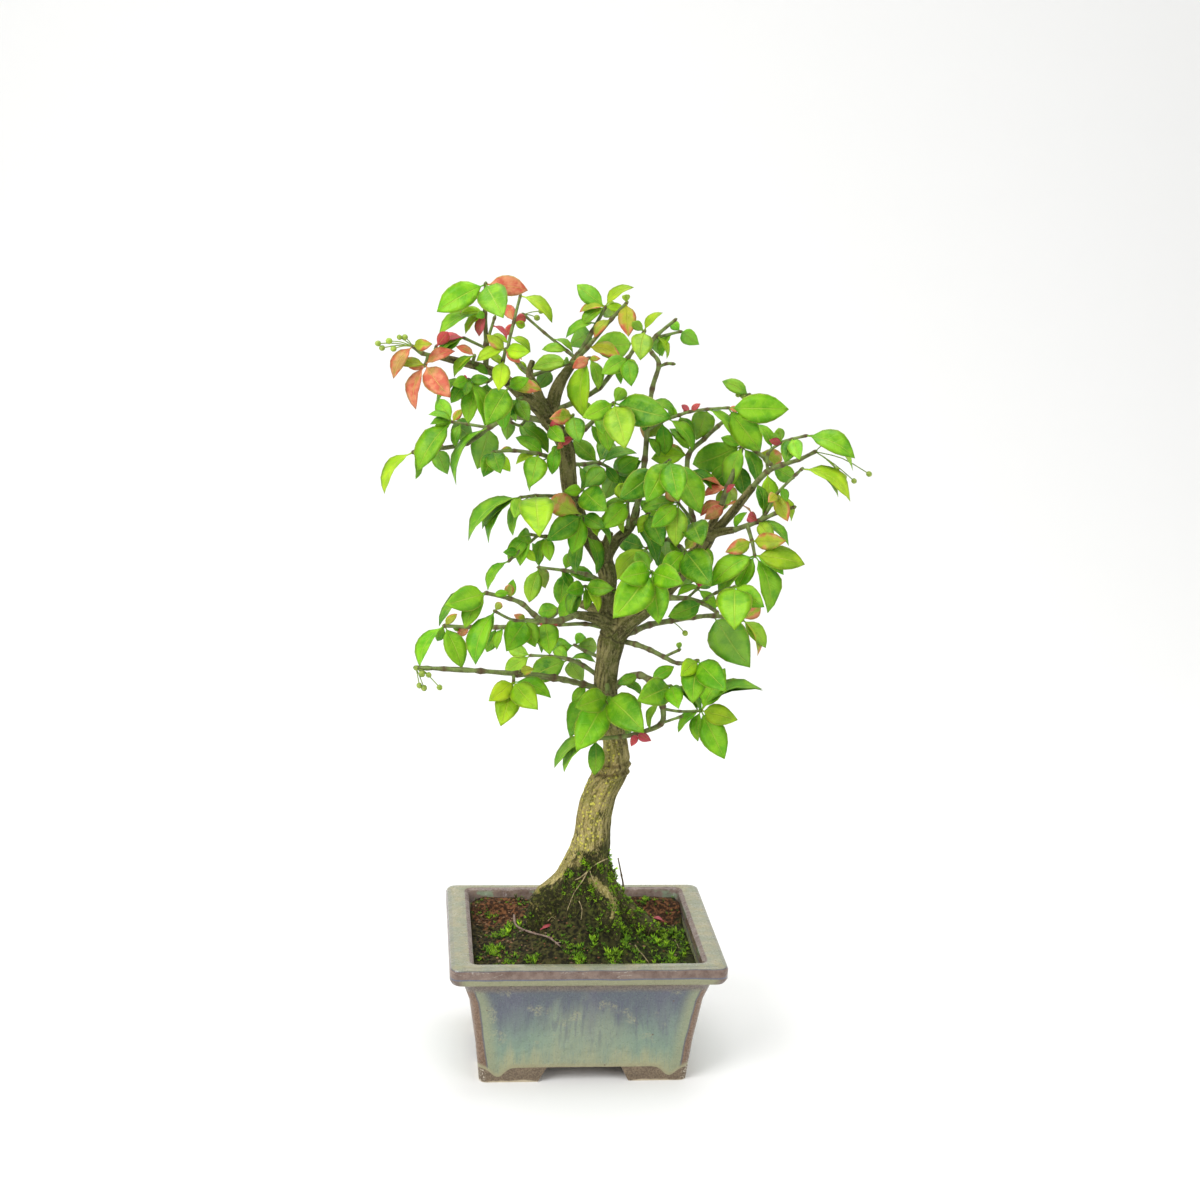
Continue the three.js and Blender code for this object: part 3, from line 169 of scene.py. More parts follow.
# The leafy twigs. A line of one word names a twig, and each other line is one of its stems: its
# radius and start, then after each bar a node with what grows there. Places are x,z,y. A leaf is
# its tone's letter with its tip's x, z and its width, as seen, and a star is a flower bud.
SPRAYS = """
top_left_tip
1.4 -85,392,-25|-94,393.5,-28|-99,397,-30 S-109,380,7 O-89,399,6 *-117,398 *-109,395.5 *-106,401.5
1 -91,393,-27|-92.5,387.5,-30 S-97,364,7 S-80,370,12 S-77,395,6 O-106,387,5 S-101,386,4
0.9 -88,392.5,-26|-87,397,-24 R-81,405,6
top_left_pair
1.7 -61,386.5,-16|-61,399,-18|-62,415,-20 Y-75,414,5 G-67,413,4 G-86,401,6 Y-72,404,4 R-65,403,5
  |-62,430,-22 G-87,415,13 P-52,413,15 S-40,428,10
1 -61,399,-18|-57,413,-26
0.9 -61,397,-18|-72.5,402,-14 D-86,391,6
top_middle_front
1.3 -54,383.5,-12.5|-52,391,-22 Y-54,375,9|-51,396.5,-24 Y-66,390,6 Y-38,395,8 O-61,404,6 S-43,390,5
top_left_droop
1.1 -68,388.5,-19|-67,393,-25 G-78,382,5 S-77,397,4
top_left_under
1.1 -56,384.5,-13.5|-60,379.5,-20 D-62,362,9|-70,380.5,-26 D-79,368,7 D-71,372,6 R-73,382,2.5
top_left_broad
1.3 -46,377.5,-8|-49,377,-20 G-50,354,9 G-61,357,14 O-32,376,7 G-38,382,7
top_left_inner
1.1 -40,372.5,-4.5|-44,371,-15 D-38,359,8 D-49,362,7
top_back_upright
1.4 -38,384,13|-44,389.5,17|-49.5,396,21|-47,411,24 R-51,404,4 S-51,420,6 R-41,414,5 Y-41,409,4
  |-44,424.5,26 Y-27,411,6
top_cross
1.3 -36.5,383.5,12.5|-27,387,9 D-34,376,8|-17,390.5,5 P-37,387,8 G-20,392,4|-7,393.5,0 Y-8,361,11
  S-16,388,6 O-1,393,3
top_right_back
1.2 -14,393,17|-18.5,396.5,22 P-32,397,5|-31,406,28|-42,415,34 *-33,417 *-35,413.5
top_upright_left
1.6 -12,396,18|-6,407,20 G-18,400,11|0.5,420,22 P-15,431,9 Y15,431,5 O-13,417,4 G-12,410,6 Y8,416,9
top_upright_right
1.5 -14,392,16|-8,399,12 P15,401,14 O10,394,7|4,414,9 O-5,404,5|11.5,422.5,7 O13,405,9 Y11,427,4
top_small_branch
1.7 -23,366,5|-12,371,8|-1,378,8|7,388,4|13.5,394,0 P-1,386,9 G16,379,9 Y18,386,5 G10,380,5
  |18,402,-4|21.5,408,-6 P19,393,11 Y31,418,4 P15,413,5
top_middle_rosette
1.7 -18.5,348.5,0|-8,356,-5|0,364,-11 G2,353,7 G5,344,9|7,370,-16 D38,362,16 P15,346,16 G-9,361,10
  G12,378,7
leader_top_front
1.1 -24,357,2|-27,357,-10 G-19,348,8 R-20,360,4
leader_front
1.1 -17.5,345,0|-22,347,-10 G-24,331,7 S-19,346,4 R-14,351,4
leader_right_front
1.1 -20,351,1|-14.5,363,-11 D-11,348,10 O-27,361,8
right_upright
1.9 21.5,315,19|23,325,20|24.7,340,21 D8,334,12|25.5,359,23 O24,351,7|27,378,25|30,391,26|26,397,28
  |24,400.5,30
1.2 25.4,356,22.5|33,361,20 O25,352,7 D36,343,9|42,364.5,17 D50,349,9 G36,367,5|48,366.5,15
  R53,371,3 R43,370,3|57,368,13 G52,351,12 G71,353,5|68,369,10 G101,369,15 G87,346,14 S75,367,3
1 29.5,389.5,26|34,391.5,24|37.5,391.5,23
1.5 24,400.5,30|28,406,30 G31,395,8 Y34,394,3|37.5,414.5,29
0.9 27.5,405,30|40.5,408.5,34 G51,402,8 G36,413,5
right_back_upright
1.8 58,293,1|52,309,12|49,326,19|48,343,24 O33,346,8 Y28,341,9|56,352,28|63,359,31|71,366,35
  D84,357,9|79,376,39 P64,383,7 *73,376
inner_back_high
1.5 -16.5,337,1|-8,337,12|0,338,20 D-14,350,9 D-6,325,12 D6,350,11|10,333,28 D4,318,10 D20,317,11
  G21,342,9
inner_back_low
1.5 52,286.5,-2|46,293,12|38,297,20 D50,310,10 D24,306,11 D38,284,11|28,292,26 D12,297,10 D22,279,11
1 46.5,292.5,11.5|53,281,14 D64,271,9 D46,270,9
middle_front_broad
1.5 20,308,17.5|24,322,9|32,335,-2 D12,318,14|38,340,-8 G26,317,14 G44,318,14 G56,311,14
right_fork_front
1.4 58,294,0|52,307,-8 D58,294,14|44,317,-15 P43,293,11 S51,328,5 S37,324,6 G30,303,10
middle_front_pair
1.3 17,302,15.5|17,310,3|16.5,317,-8 G3,302,11 Y15,300,5 Y11,327,8
middle_inner
1.1 19,305,16.5|28,311,8 Y23,300,7 D37,293,11
leader_right_broad
1.2 -13.5,319,2|-8,323.5,-7 D3,335,10 G-18,322,6 D5,311,14
leader_low_front
1.2 -9.5,309,4|-7.5,309.5,-11 O-25,318,12 D-27,296,12 G-12,288,10 Y1,298,5 D5,303,8
left_middle
1.5 -17,340,0|-24,340,-5|-32,342,-12 G-36,324,12 Y-44,336,4|-45,343.5,-18 O-52,344,3|-56,342.5,-24
  D-61,329,9 D-52,331,10 Y-47,332,6
left_orange
1.4 -13.5,319,2|-22,319.5,-9 R-25,310,3|-33,319.5,-18 Y-30,297,17|-41,318.5,-24 G-68,294,7
  G-61,301,7 G-57,293,5 P-44,307,8
left_back_long
2 -26,359,4|-38,361,14 D-38,347,9|-48,361,24 D-54,369,7 D-49,349,7|-58,356,32 G-64,333,14 G-75,324,4
  |-70,347,38|-86,343.5,44 G-80,330,9 R-84,350,5|-98,341.5,48 Y-113,319,6 G-97,327,4
1.1 -59,355.5,32.5|-70,357,36|-78,358,37 G-95,331,12 D-66,349,11 G-86,370,8 O-73,365,4
1 -39,361,15|-42,357,9|-47,358.5,4
left_hanging
1.4 -5,300,5|-16,299,-4|-27,297.5,-12 G-24,284,7 D-31,282,6|-35,298.5,-16 G-47,284,8 G-40,281,7
0.8 -31,298,-14|-40,290,-20|-46,284,-24 G-57,267,5
left_back_small
1.5 4.5,273,4.5|-4,277,12|-16,279,21 G-13,289,6 D-18,260,9 D1,273,7|-30,280.5,28 P-35,261,9
  O-26,269,8 D-34,294,5 G-29,293,5
leader_base_front
1.2 5,269,4|-5,270.5,-9 G11,269,9 G-17,250,10 G-15,267,8 D-13,254,5 G-4,257,5 Y3,256,5
front_rosette
1.7 40,271,-5.5|36,275,-18|31,279,-32 G12,252,19 G37,250,14 G49,273,13 G13,276,13 G22,290,8
right_inner_broad
1.4 53,287.5,-1.5|48.5,291,-16 D65,272,17 G36,276,11 O53,298,6
right_back_rosette
1.9 67,316,11|70,326,15 Y66,312,8 S57,321,5 O75,318,7|75,340,22 D60,326,10 D80,322,9|77.5,349,24
  G51,337,15 P71,325,10 G65,353,6|85,345.5,20 O99,341,9|93,339,16 G106,331,9
right_low_red
1.1 65,311,9|69,316,4 S58,309,7 S84,312,4
right_tip
1.8 84,327,-3|91,335,-6 Y91,312,9|99,339,-8|108,342,-9|116.5,346.5,-10 *129,337 *139,331 *147,335
  *127,355
1.1 91.5,335.5,-6|91,345,-12|98,351,-16 R91,352,4 G93,356,5 P96,359,5|103.5,353,-18 D101,340,9
  P109,342,8|111,355,-20 G139,344,11 P138,336,6 *132,354
right_low_tip
1.7 75,303,-7|88,308,-15 R82,311,6 P97,297,8|98,313,-21|107,316,-26
1.1 88,308,-15|92,313,-17|97,323,-21 O104,308,8 O93,318,6 Y106,308,4|107,334,-27|110,337,-30
  Y138,320,8 P131,322,5
1.4 82,305.5,-12|85,297,-20 O71,290,8 O104,297,9|87,289,-24 P70,262,9 G63,272,12 G97,257,11
  Y115,284,12 G104,279,7
right_low_drop
1.8 17,240,0|24,238.5,-6|32,235.5,-12|40,231.5,-18|48,228,-23|58.5,229.5,-29 Y49,221,9 G56,205,14
  G76,212,14
0.9 40,231.5,-18|48,235.5,-20 P48,240,3
right_low_back
2.1 16,243,2|23,246,6|31,249.5,10|43,252,14 *51,245|55,254,18|66,255,20 G87,225,21|82,253,22
  P96,237,8 O92,260,7
right_low_front
1.9 37,268,-6|42,265,-12|51,264.5,-20|60,262,-27 D41,254,10|68,257,-32
1.1 59,262.5,-26|67,268,-32|77,271.5,-38 G78,247,18 G94,260,11 Y67,260,7
0.9 51,264.5,-20|57,270.5,-22 R58,274,3
low_arch
2.2 13.5,214,-1|20,219.5,-9|27,221,-14 D15,216,6|33,218,-19 G46,226,7|38,212,-22|40.5,203,-22
  |40,193,-22|27,187.5,-21 R35,183,5 R24,180,4|18,185.5,-20|4,184.5,-19 P-18,167,6 P-13,165,6
  D4,163,9
1.2 36,214.5,-21|44.5,215,-31 G26,206,15 G50,202,10 D52,210,5
1 40.6,202,-22|50,200.5,-19|62,201,-15 G75,225,12 G50,188,5 G61,183,6 G77,173,14 Y83,196,11
  D96,213,7
0.8 40,193.5,-22|51,197.5,-26
low_back_right
1.1 14,192,0|19,197,13 D22,185,8 G28,206,7
trunk_front_rosette
1.8 9,219,0|10,209,-16 G32,189,18 G-6,177,17 G-8,202,13 D14,203,4
winged_branch
1.9 7,212,0|-4,215.5,-6|-20,219,-10|-40,221,-13.5|-60,222.5,-17|-80,223.5,-20|-95,224,-22 *-88,220
  *-93,214 *-82,213
1.2 -42,221,-13.8|-42,216.5,-17 Y-55,205,10 Y-48,191,13 Y-29,200,13 G-21,208,8
0.8 -39,221,-13.3|-38.5,222.5,-16 O-31,224,5
low_left_front
1.9 -9,254.5,-17|-17,251.5,-24|-26,251,-30|-32,254.5,-34|-38,260,-38|-45,263,-42 G-44,274,5
  O-46,271,5|-58,266,-48 G-80,259,13 D-83,247,6 G-69,246,9
1 -28,252,-31|-42,251,-44|-53,256,-52 G-63,226,11 O-50,261,4 D-57,240,6
low_left_back
1.9 -7,261,18|-17,258,28 G-30,256,8|-26,251,38|-40,248,46|-52,247,50 D-57,233,7|-66,247,52
  S-73,243,5|-80,247.5,53 G-93,224,7 G-70,224,11 O-73,254,4 P-84,239,5
low_left_broad
1.4 8,247,0|-4,249.5,-11|-18,249,-13 R-29,249,6|-26,251,-15 G-22,232,12|-36,251.5,-20 G-47,234,14
  G-31,236,10 O-43,254,4
low_left_dark
1.5 6,219,2|-4,226,8|-12,229.5,13 D-33,220,13 P-4,217,10 P-20,236,7|-22,231,20|-33,231.5,26
  P-47,222,9 P-46,236,7
low_left_curl
1.3 7,230,2|-3,234,10|-9,237.5,14 D-22,236,10 G-5,244,6 P3,237,9
"""

# Small leaves that fill the crown between the sprays: the tone's letter, where each leaves a twig
# and where its tip is, in points of the picture from its top left corner, and its width there.
FILL_LEAVES = """
G465,402,484,427,16 G520,430,549,453,14 G447,408,433,430,10 P590,358,598,390,13 Y490,352,504,367,8
Y512,362,527,375,8 Y488,337,508,343,7 Y512,338,531,352,8 D462,368,488,375,8 D615,440,637,453,11
D648,436,659,457,9 G672,430,693,451,13 D744,448,757,484,15 D668,490,641,511,15 D622,492,603,509,10
D606,512,599,533,10 Y630,548,615,582,16 D650,545,661,570,11 D634,526,652,548,10 G728,524,747,512,8
G757,558,737,590,19 D595,550,577,574,15 G530,506,513,536,12 Y520,545,535,562,9 G600,690,570,738,24
D622,686,643,695,9 D690,690,701,713,9 G717,702,763,690,11 P645,705,650,730,8 O748,640,758,656,9
G755,525,789,546,10 D752,510,763,488,9 D578,455,581,492,8 G590,422,600,446,10 G778,484,787,502,9
G676,597,701,588,8 G570,652,596,663,7 D524,640,541,654,9 G504,625,497,650,9 P452,612,460,629,7
G495,580,509,593,8 G585,318,566,339,9 Y612,296,625,309,9 G672,332,660,357,9 D560,560,572,590,10
D700,470,716,492,12 G545,470,530,492,9 D668,540,682,560,11 D585,590,574,612,10 G640,500,655,520,12
D625,600,640,622,10 O477,291,460,314,7 O478,313,467,333,5 R448,332,437,345,8 G463,338,439,355,8
Y476,350,456,374,6 S506,349,522,360,6 O516,382,542,391,10 P542,349,573,354,6 R447,440,438,447,6
R500,326,507,340,5 R545,428,552,436,5 S700,478,722,487,7 R722,492,735,484,6 R690,405,683,411,4
S655,480,640,492,7 G436,400,428,415,7 D462,425,455,447,10 G508,404,516,422,8 G668,400,676,418,9
D610,460,618,484,11 D655,415,645,432,9 G712,545,700,562,10 D680,560,668,578,10 D600,520,610,545,9
G478,400,468,424,18 G545,451,515,438,14 D530,518,517,538,16 G470,372,452,386,13
D462,370,490,380,11 G690,452,670,428,13 G766,441,758,424,11 D762,513,756,485,13
S716,500,700,516,10 G716,540,712,567,13 D585,550,597,574,13 D636,526,656,566,15
G698,590,715,613,11 D680,694,698,710,11 G586,687,572,702,11 D552,438,553,457,9 G580,404,593,420,10
G448,392,436,405,9 D440,414,430,424,8 D505,536,503,552,10
"""

# How far a leaf's tip was moved along the line of sight, in mm, and how far it was rolled, in
# degrees, to keep clear of its neighbours.
TRIES = rows_of(
    "0,0 -5,0 5,0 0,25 0,-25 -10,0 10,0 -8,25 8,25 -8,-25 8,-25 -16,0 16,0 -14,35 14,35 -14,-35 "
    "14,-35 -22,0 22,0 -20,45 20,-45"
)

# The rule of the leaf solids: length over width, the fold at the rib, how much wider a leaf is
# than read, the least share of its width that shows, how far forward a face that counts as up
# may lean, the sag as shares of the length, and the corners as shares of length and half width.
LEAF_RATIO = 2.0
FOLD = 0.24
WIDER = 1.08
LEAST_SHOWN = 0.25
FORWARD_LEAN = 0.3
LEAST_SAG = 0.07
TURNED_SAG = 0.13
BLADE = ((0.24, 0.72), (0.5, 1.0), (0.78, 0.64))
SMALL_BLADE = ((0.33, 0.94), (0.68, 0.86))
SMALL_LENGTH = 28.0
TINY_BLADE = ((0.42, 1.0),)
TINY_LENGTH = 13.0


def seen(point: Iterable[float]) -> Array:
    """Moves x, z and y, read on the plane y = 0, along the line of sight to that depth y."""
    x, z, y = point
    return EYE + (np.array([x, 0.0, z]) - EYE) * ((y - EYE[1]) / -EYE[1])


def unit(vector: Array) -> Array:
    """Returns the vector at length 1."""
    return vector / max(float(np.linalg.norm(vector)), 1e-9)


def lumps(x: Array, y: Array, *waves: tuple[float, float, float]) -> Array:
    """Adds up waves of noise at places, each with its scale, level and strength."""
    return np.array([
        sum(noise.noise(Vector((a * scale, b * scale, level))) * much
            for scale, level, much in waves) for a, b in zip(x, y)
    ])


def corner_values(mesh: bpy.types.Mesh, name: str = "co") -> Array:
    """Reads a mesh's places, or its directions where the name is "normal"."""
    flat = np.empty(len(mesh.vertices) * 3, np.float32)
    mesh.vertices.foreach_get(name, flat)
    return flat.reshape(-1, 3).astype(float)


@dataclass
class Frame:
    """Where the tree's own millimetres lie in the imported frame."""

    shift: Array = field(default_factory=lambda: np.zeros(3))

    def find(self) -> None:
        """Reads the shift from the pot's box, whose middle is the tree's origin."""
        low, high = (np.array(corner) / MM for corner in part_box("pot"))
        self.shift = np.array([(low[0] + high[0]) / 2, (low[1] + high[1]) / 2, low[2]])

    def metres(self, points: Array) -> Array:
        """Turns points in the tree's millimetres into metres of the frame."""
        return (np.asarray(points, float) + self.shift) * MM

    def node_points(self, name: str) -> Array:
        """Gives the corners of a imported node's mesh in the tree's millimetres."""
        node = next(o for o in bpy.data.objects if o.get("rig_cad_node") == name)
        return corner_values(node.data) / MM - self.shift

    def cast(self, tree: BVHTree, start: Array, ray: Array) -> tuple[Array, Array] | None:
        """Gives where a ray meets a surface, with the surface's direction there, or None."""
        hit, normal, _, _ = tree.ray_cast(Vector(self.metres(start)), Vector(ray), 3.0)
        return (np.array(hit) / MM - self.shift, np.array(normal)) if hit else None


FRAME = Frame()


def select(item: Item | None = None) -> None:
    """Leaves only one object selected and active, or nothing selected."""
    for other in bpy.context.selected_objects:
        other.select_set(False)
    if item:
        item.select_set(True)
        bpy.context.view_layer.objects.active = item


def put(name: str, data: bpy.types.ID) -> Item:
    """Makes an object of its data and puts it in the scene."""
    item = bpy.data.objects.new(name, data)
    bpy.context.scene.collection.objects.link(item)
    return item


def tree_of(name: str) -> BVHTree:
    """Gives the search tree of a piece's surface."""
    return BVHTree.FromObject(bpy.data.objects[name], bpy.context.evaluated_depsgraph_get())


def mode(name: str) -> None:
    """Switches the active object to the mode EDIT or OBJECT."""
    bpy.ops.object.mode_set(mode=name)


def work(item: Item, kind: str, **settings: object) -> None:
    """Adds a modifier and applies it.

    Args:
        item: The object.
        kind: The modifier's type.
        settings: Its properties.
    """
    select(item)
    tool = item.modifiers.new("work", kind)
    for name, value in settings.items():
        setattr(tool, name, value)
    bpy.ops.object.modifier_apply(modifier=tool.name)


def take_shape(item: Item) -> tuple[Array, list[tuple[int, ...]]]:
    """Reads a modelled object's points and faces, and removes it."""
    points, faces = corner_values(item.data), [tuple(p.vertices) for p in item.data.polygons]
    bpy.data.objects.remove(item)
    return points, faces


def write_values(mesh: bpy.types.Mesh, tints: Array, marks: Array) -> None:
    """Stores a colour and three marks at each point of a mesh.

    Args:
        mesh: The mesh.
        tints: Rows of three or four values.
        marks: Rows of three values.
    """
    colours = np.ones((len(mesh.vertices), 4), np.float32)
    colours[:, :tints.shape[1]] = tints
    layer = mesh.attributes.new("tint", "FLOAT_COLOR", "POINT")
    layer.data.foreach_set("color", colours.ravel())
    layer = mesh.attributes.new("marks", "FLOAT_VECTOR", "POINT")
    layer.data.foreach_set("vector", np.asarray(marks, np.float32).ravel())


def finish_piece(item: Item, finish: "Finish", slot: str,
                 replaces: Iterable[str] = ()) -> None:
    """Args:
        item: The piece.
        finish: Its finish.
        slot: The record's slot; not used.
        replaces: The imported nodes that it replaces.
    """
    item.data.materials.clear()
    item.data.materials.append(finish.material())
    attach(item, "root")
    if replaces:
        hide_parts(*replaces)
    LOG.info("%s: %d faces", item.name, len(item.data.polygons))


def ring_faces(rings: int, sides: int) -> list[tuple[int, ...]]:
    """Gives the faces of a skin over rings of points, with a cap at both ends.

    Args:
        rings: How many rings.
        sides: How many points each has, anticlockwise as seen from the last.

    Returns:
        Each face's corners.
    """
    faces = []
    for i in range(rings - 1):
        for j in range(sides):
            k = (j + 1) % sides
            faces.append((i * sides + j, i * sides + k, (i + 1) * sides + k, (i + 1) * sides + j))
    last = (rings - 1) * sides
    return [*faces, tuple(range(sides))[::-1], tuple(range(last, last + sides))]


def axes_at(path: Array, i: int) -> tuple[Array, Array, Array]:
    """Gives a path's direction at a row, and two directions across it."""
    along = unit(path[min(i + 1, len(path) - 1)] - path[max(i - 1, 0)])
    across = unit(np.cross([0, 1, 0.15], along))
    return along, across, np.cross(along, across)


def smooth_path(points: Array, steps: int) -> Array:
    """Runs a smooth curve through rows of values.

    Args:
        points: The rows.
        steps: How many steps each stretch is cut into.

    Returns:
        The curve's rows.
    """
    rows = [points[0]]
    for i in range(len(points) - 1):
        before, a = points[max(i - 1, 0)], points[i]
        b, after = points[i + 1], points[min(i + 2, len(points) - 1)]
        for step in range(1, steps + 1):
            t = step / steps
            rows.append(0.5 * (
                2 * a + (b - before) * t + (2 * before - 5 * a + 4 * b - after) * t * t
                + (3 * a - before - 3 * b + after) * t**3
            ))
    return np.array(rows)


@dataclass
class Shape:
    """A modelled form that many are copied from."""

    points: Array = field(default_factory=lambda: np.zeros((0, 3)))
    faces: list[tuple[int, ...]] = field(default_factory=list)


@dataclass
class Build:
    """Points, faces and values of one piece, gathered before its mesh is made."""

    points: list[Array] = field(default_factory=list)
    faces: list[tuple[int, ...]] = field(default_factory=list)
    tints: list[Array] = field(default_factory=list)
    marks: list[Array] = field(default_factory=list)
    count: int = 0

    def add(self, points: Array, faces: Iterable[Iterable[int]], tint: Array = 0.0,
            marks: Array = 0.0, blush: float = 0.0) -> None:
        """Adds one form.

        Args:
            points: Rows of x, y, z in millimetres.
            faces: Each face's corners.
            tint: Linear colour, one for all or one a row.
            marks: Three values for the finish, for all or a row.
            blush: The tint's fourth value.
        """
        rows = len(points)
        self.points.append(np.asarray(points, float))
        self.faces.extend(tuple(i + self.count for i in face) for face in faces)
        colour = np.full((rows, 4), blush)
        colour[:, :3] = tint
        self.tints.append(colour)
        self.marks.append(np.broadcast_to(np.asarray(marks, float), (rows, 3)))
        self.count += rows

    def tube(self, path: Array, radii: Array, sides: int, tint: Array = 0.0, marks: Array = 0.0,
             shape: Callable[[Array, int], Array] | None = None) -> None:
        """Adds a closed tube.

        Args:
            path: Rows of points along its middle.
            radii: One a row.
            sides: Points in a ring.
            tint: As in add.
            marks: As in add.
            shape: Turns angles and a row into shares of the radius.
        """
        angles = (np.arange(sides) + 0.5) / sides * 2 * math.pi
        rings = []
        for i, centre in enumerate(path):
            _, across, up = axes_at(path, i)
            reach = radii[i] * (shape(angles, i) if shape else np.ones(sides))
            turned = np.outer(np.cos(angles), across) + np.outer(np.sin(angles), up)
            rings.append(centre + reach[:, None] * turned)
        self.add(np.concatenate(rings), ring_faces(len(path), sides), tint, marks)

    def object(self, name: str) -> Item:
        """Makes the smooth mesh object, at the origin, with the attributes tint and marks."""
        mesh = bpy.data.meshes.new(name)
        mesh.from_pydata(FRAME.metres(np.concatenate(self.points)).tolist(), [], self.faces)
        write_values(mesh, np.concatenate(self.tints), np.concatenate(self.marks))
        mesh.polygons.foreach_set("use_smooth", [True] * len(mesh.polygons))
        mesh.validate()
        return put(name, mesh)

    def piece(self, name: str, finish: "Finish", slot: str, replaces: Iterable[str] = ()) -> None:
        """Makes the mesh object and passes the rest to finish_piece."""
        finish_piece(self.object(name), finish, slot, replaces)


@dataclass(frozen=True)
class Photo:
    """The camera that the tree is looked at through, in the tree's millimetres."""

    eye: Array = field(default_factory=lambda: np.array([-101.83, -983.31, 500.24]))
    focal: float = 1880.0
    yaw: float = 6.12
    pitch: float = 13.49
    roll: float = 2.2
    size: int = 1200

    def axes(self) -> tuple[Array, Array, Array]:
        """Gives the camera's right, up and forward directions."""
        yaw, pitch, roll = (math.radians(a) for a in (self.yaw, self.pitch, self.roll))
        forward = np.array([
            math.sin(yaw) * math.cos(pitch), math.cos(yaw) * math.cos(pitch), -math.sin(pitch)
        ])
        level = unit(np.cross(forward, [0, 0, 1]))
        over = np.cross(level, forward)
        right = math.cos(roll) * level + math.sin(roll) * over
        up = -math.sin(roll) * level + math.cos(roll) * over
        return right, up, forward

    def ray(self, px: float, py: float) -> Array:
        """Gives the direction of sight through a point of the picture.

        Args:
            px: From the left, of 1200.
            py: From the top, of 1200.

        Returns:
            A direction of length 1.
        """
        right, up, forward = self.axes()
        half = self.size / 2
        return unit(right * (px - half) / self.focal - up * (py - half) / self.focal + forward)

    def misses(self, px: float, py: float, points: Array) -> Array:
        """Tells how far from each point the line of sight of ray(px, py) passes."""
        return np.linalg.norm(np.cross(points - self.eye, self.ray(px, py)), axis=1)

    def pictured(self, points: Array) -> Array:
        """Gives where points are in the picture.

        Args:
            points: Rows of x, y, z.

        Returns:
            Rows of px and py, as in ray.
        """
        right, up, forward = self.axes()
        off = points - self.eye
        scale = self.focal / (off @ forward)
        half = self.size / 2
        return np.stack([half + scale * (off @ right), half - scale * (off @ up)], 1)


PHOTO = Photo()


def maths(kind: str) -> Callable[..., "Wire"]:
    """Gives a method that works on a wire, or on it and a second value, with a Math node."""
    return lambda a, b=0.0: a.nodes.out("Math", {0: a, 1: b}, operation=kind)


class Wire:
    """An output in a node tree that sums like a number."""

    __add__, __sub__, __mul__ = maths("ADD"), maths("SUBTRACT"), maths("MULTIPLY")
    __abs__, fraction = maths("ABSOLUTE"), maths("FRACT")
    larger, power_of_e = maths("MAXIMUM"), maths("EXPONENT")

    def __init__(self, nodes: "Nodes", socket: bpy.types.NodeSocket) -> None:
        """Keeps the tree and the output."""
        self.nodes, self.socket = nodes, socket

    def hump(self, middle: float, reach: float) -> "Wire":
        """Gives 1 at the middle, and less the further from it."""
        off = (self - middle) * (1 / reach)
        return (off * off * -1.0).power_of_e()

    def step(self, low: object, high: object) -> "Wire":
        """Steps smoothly from 0 at low to 1 at high, and down where low is the higher."""
        return self.nodes.out(
            "MapRange", {"Value": self, "From Min": low, "From Max": high},
            interpolation_type="SMOOTHSTEP",
        )


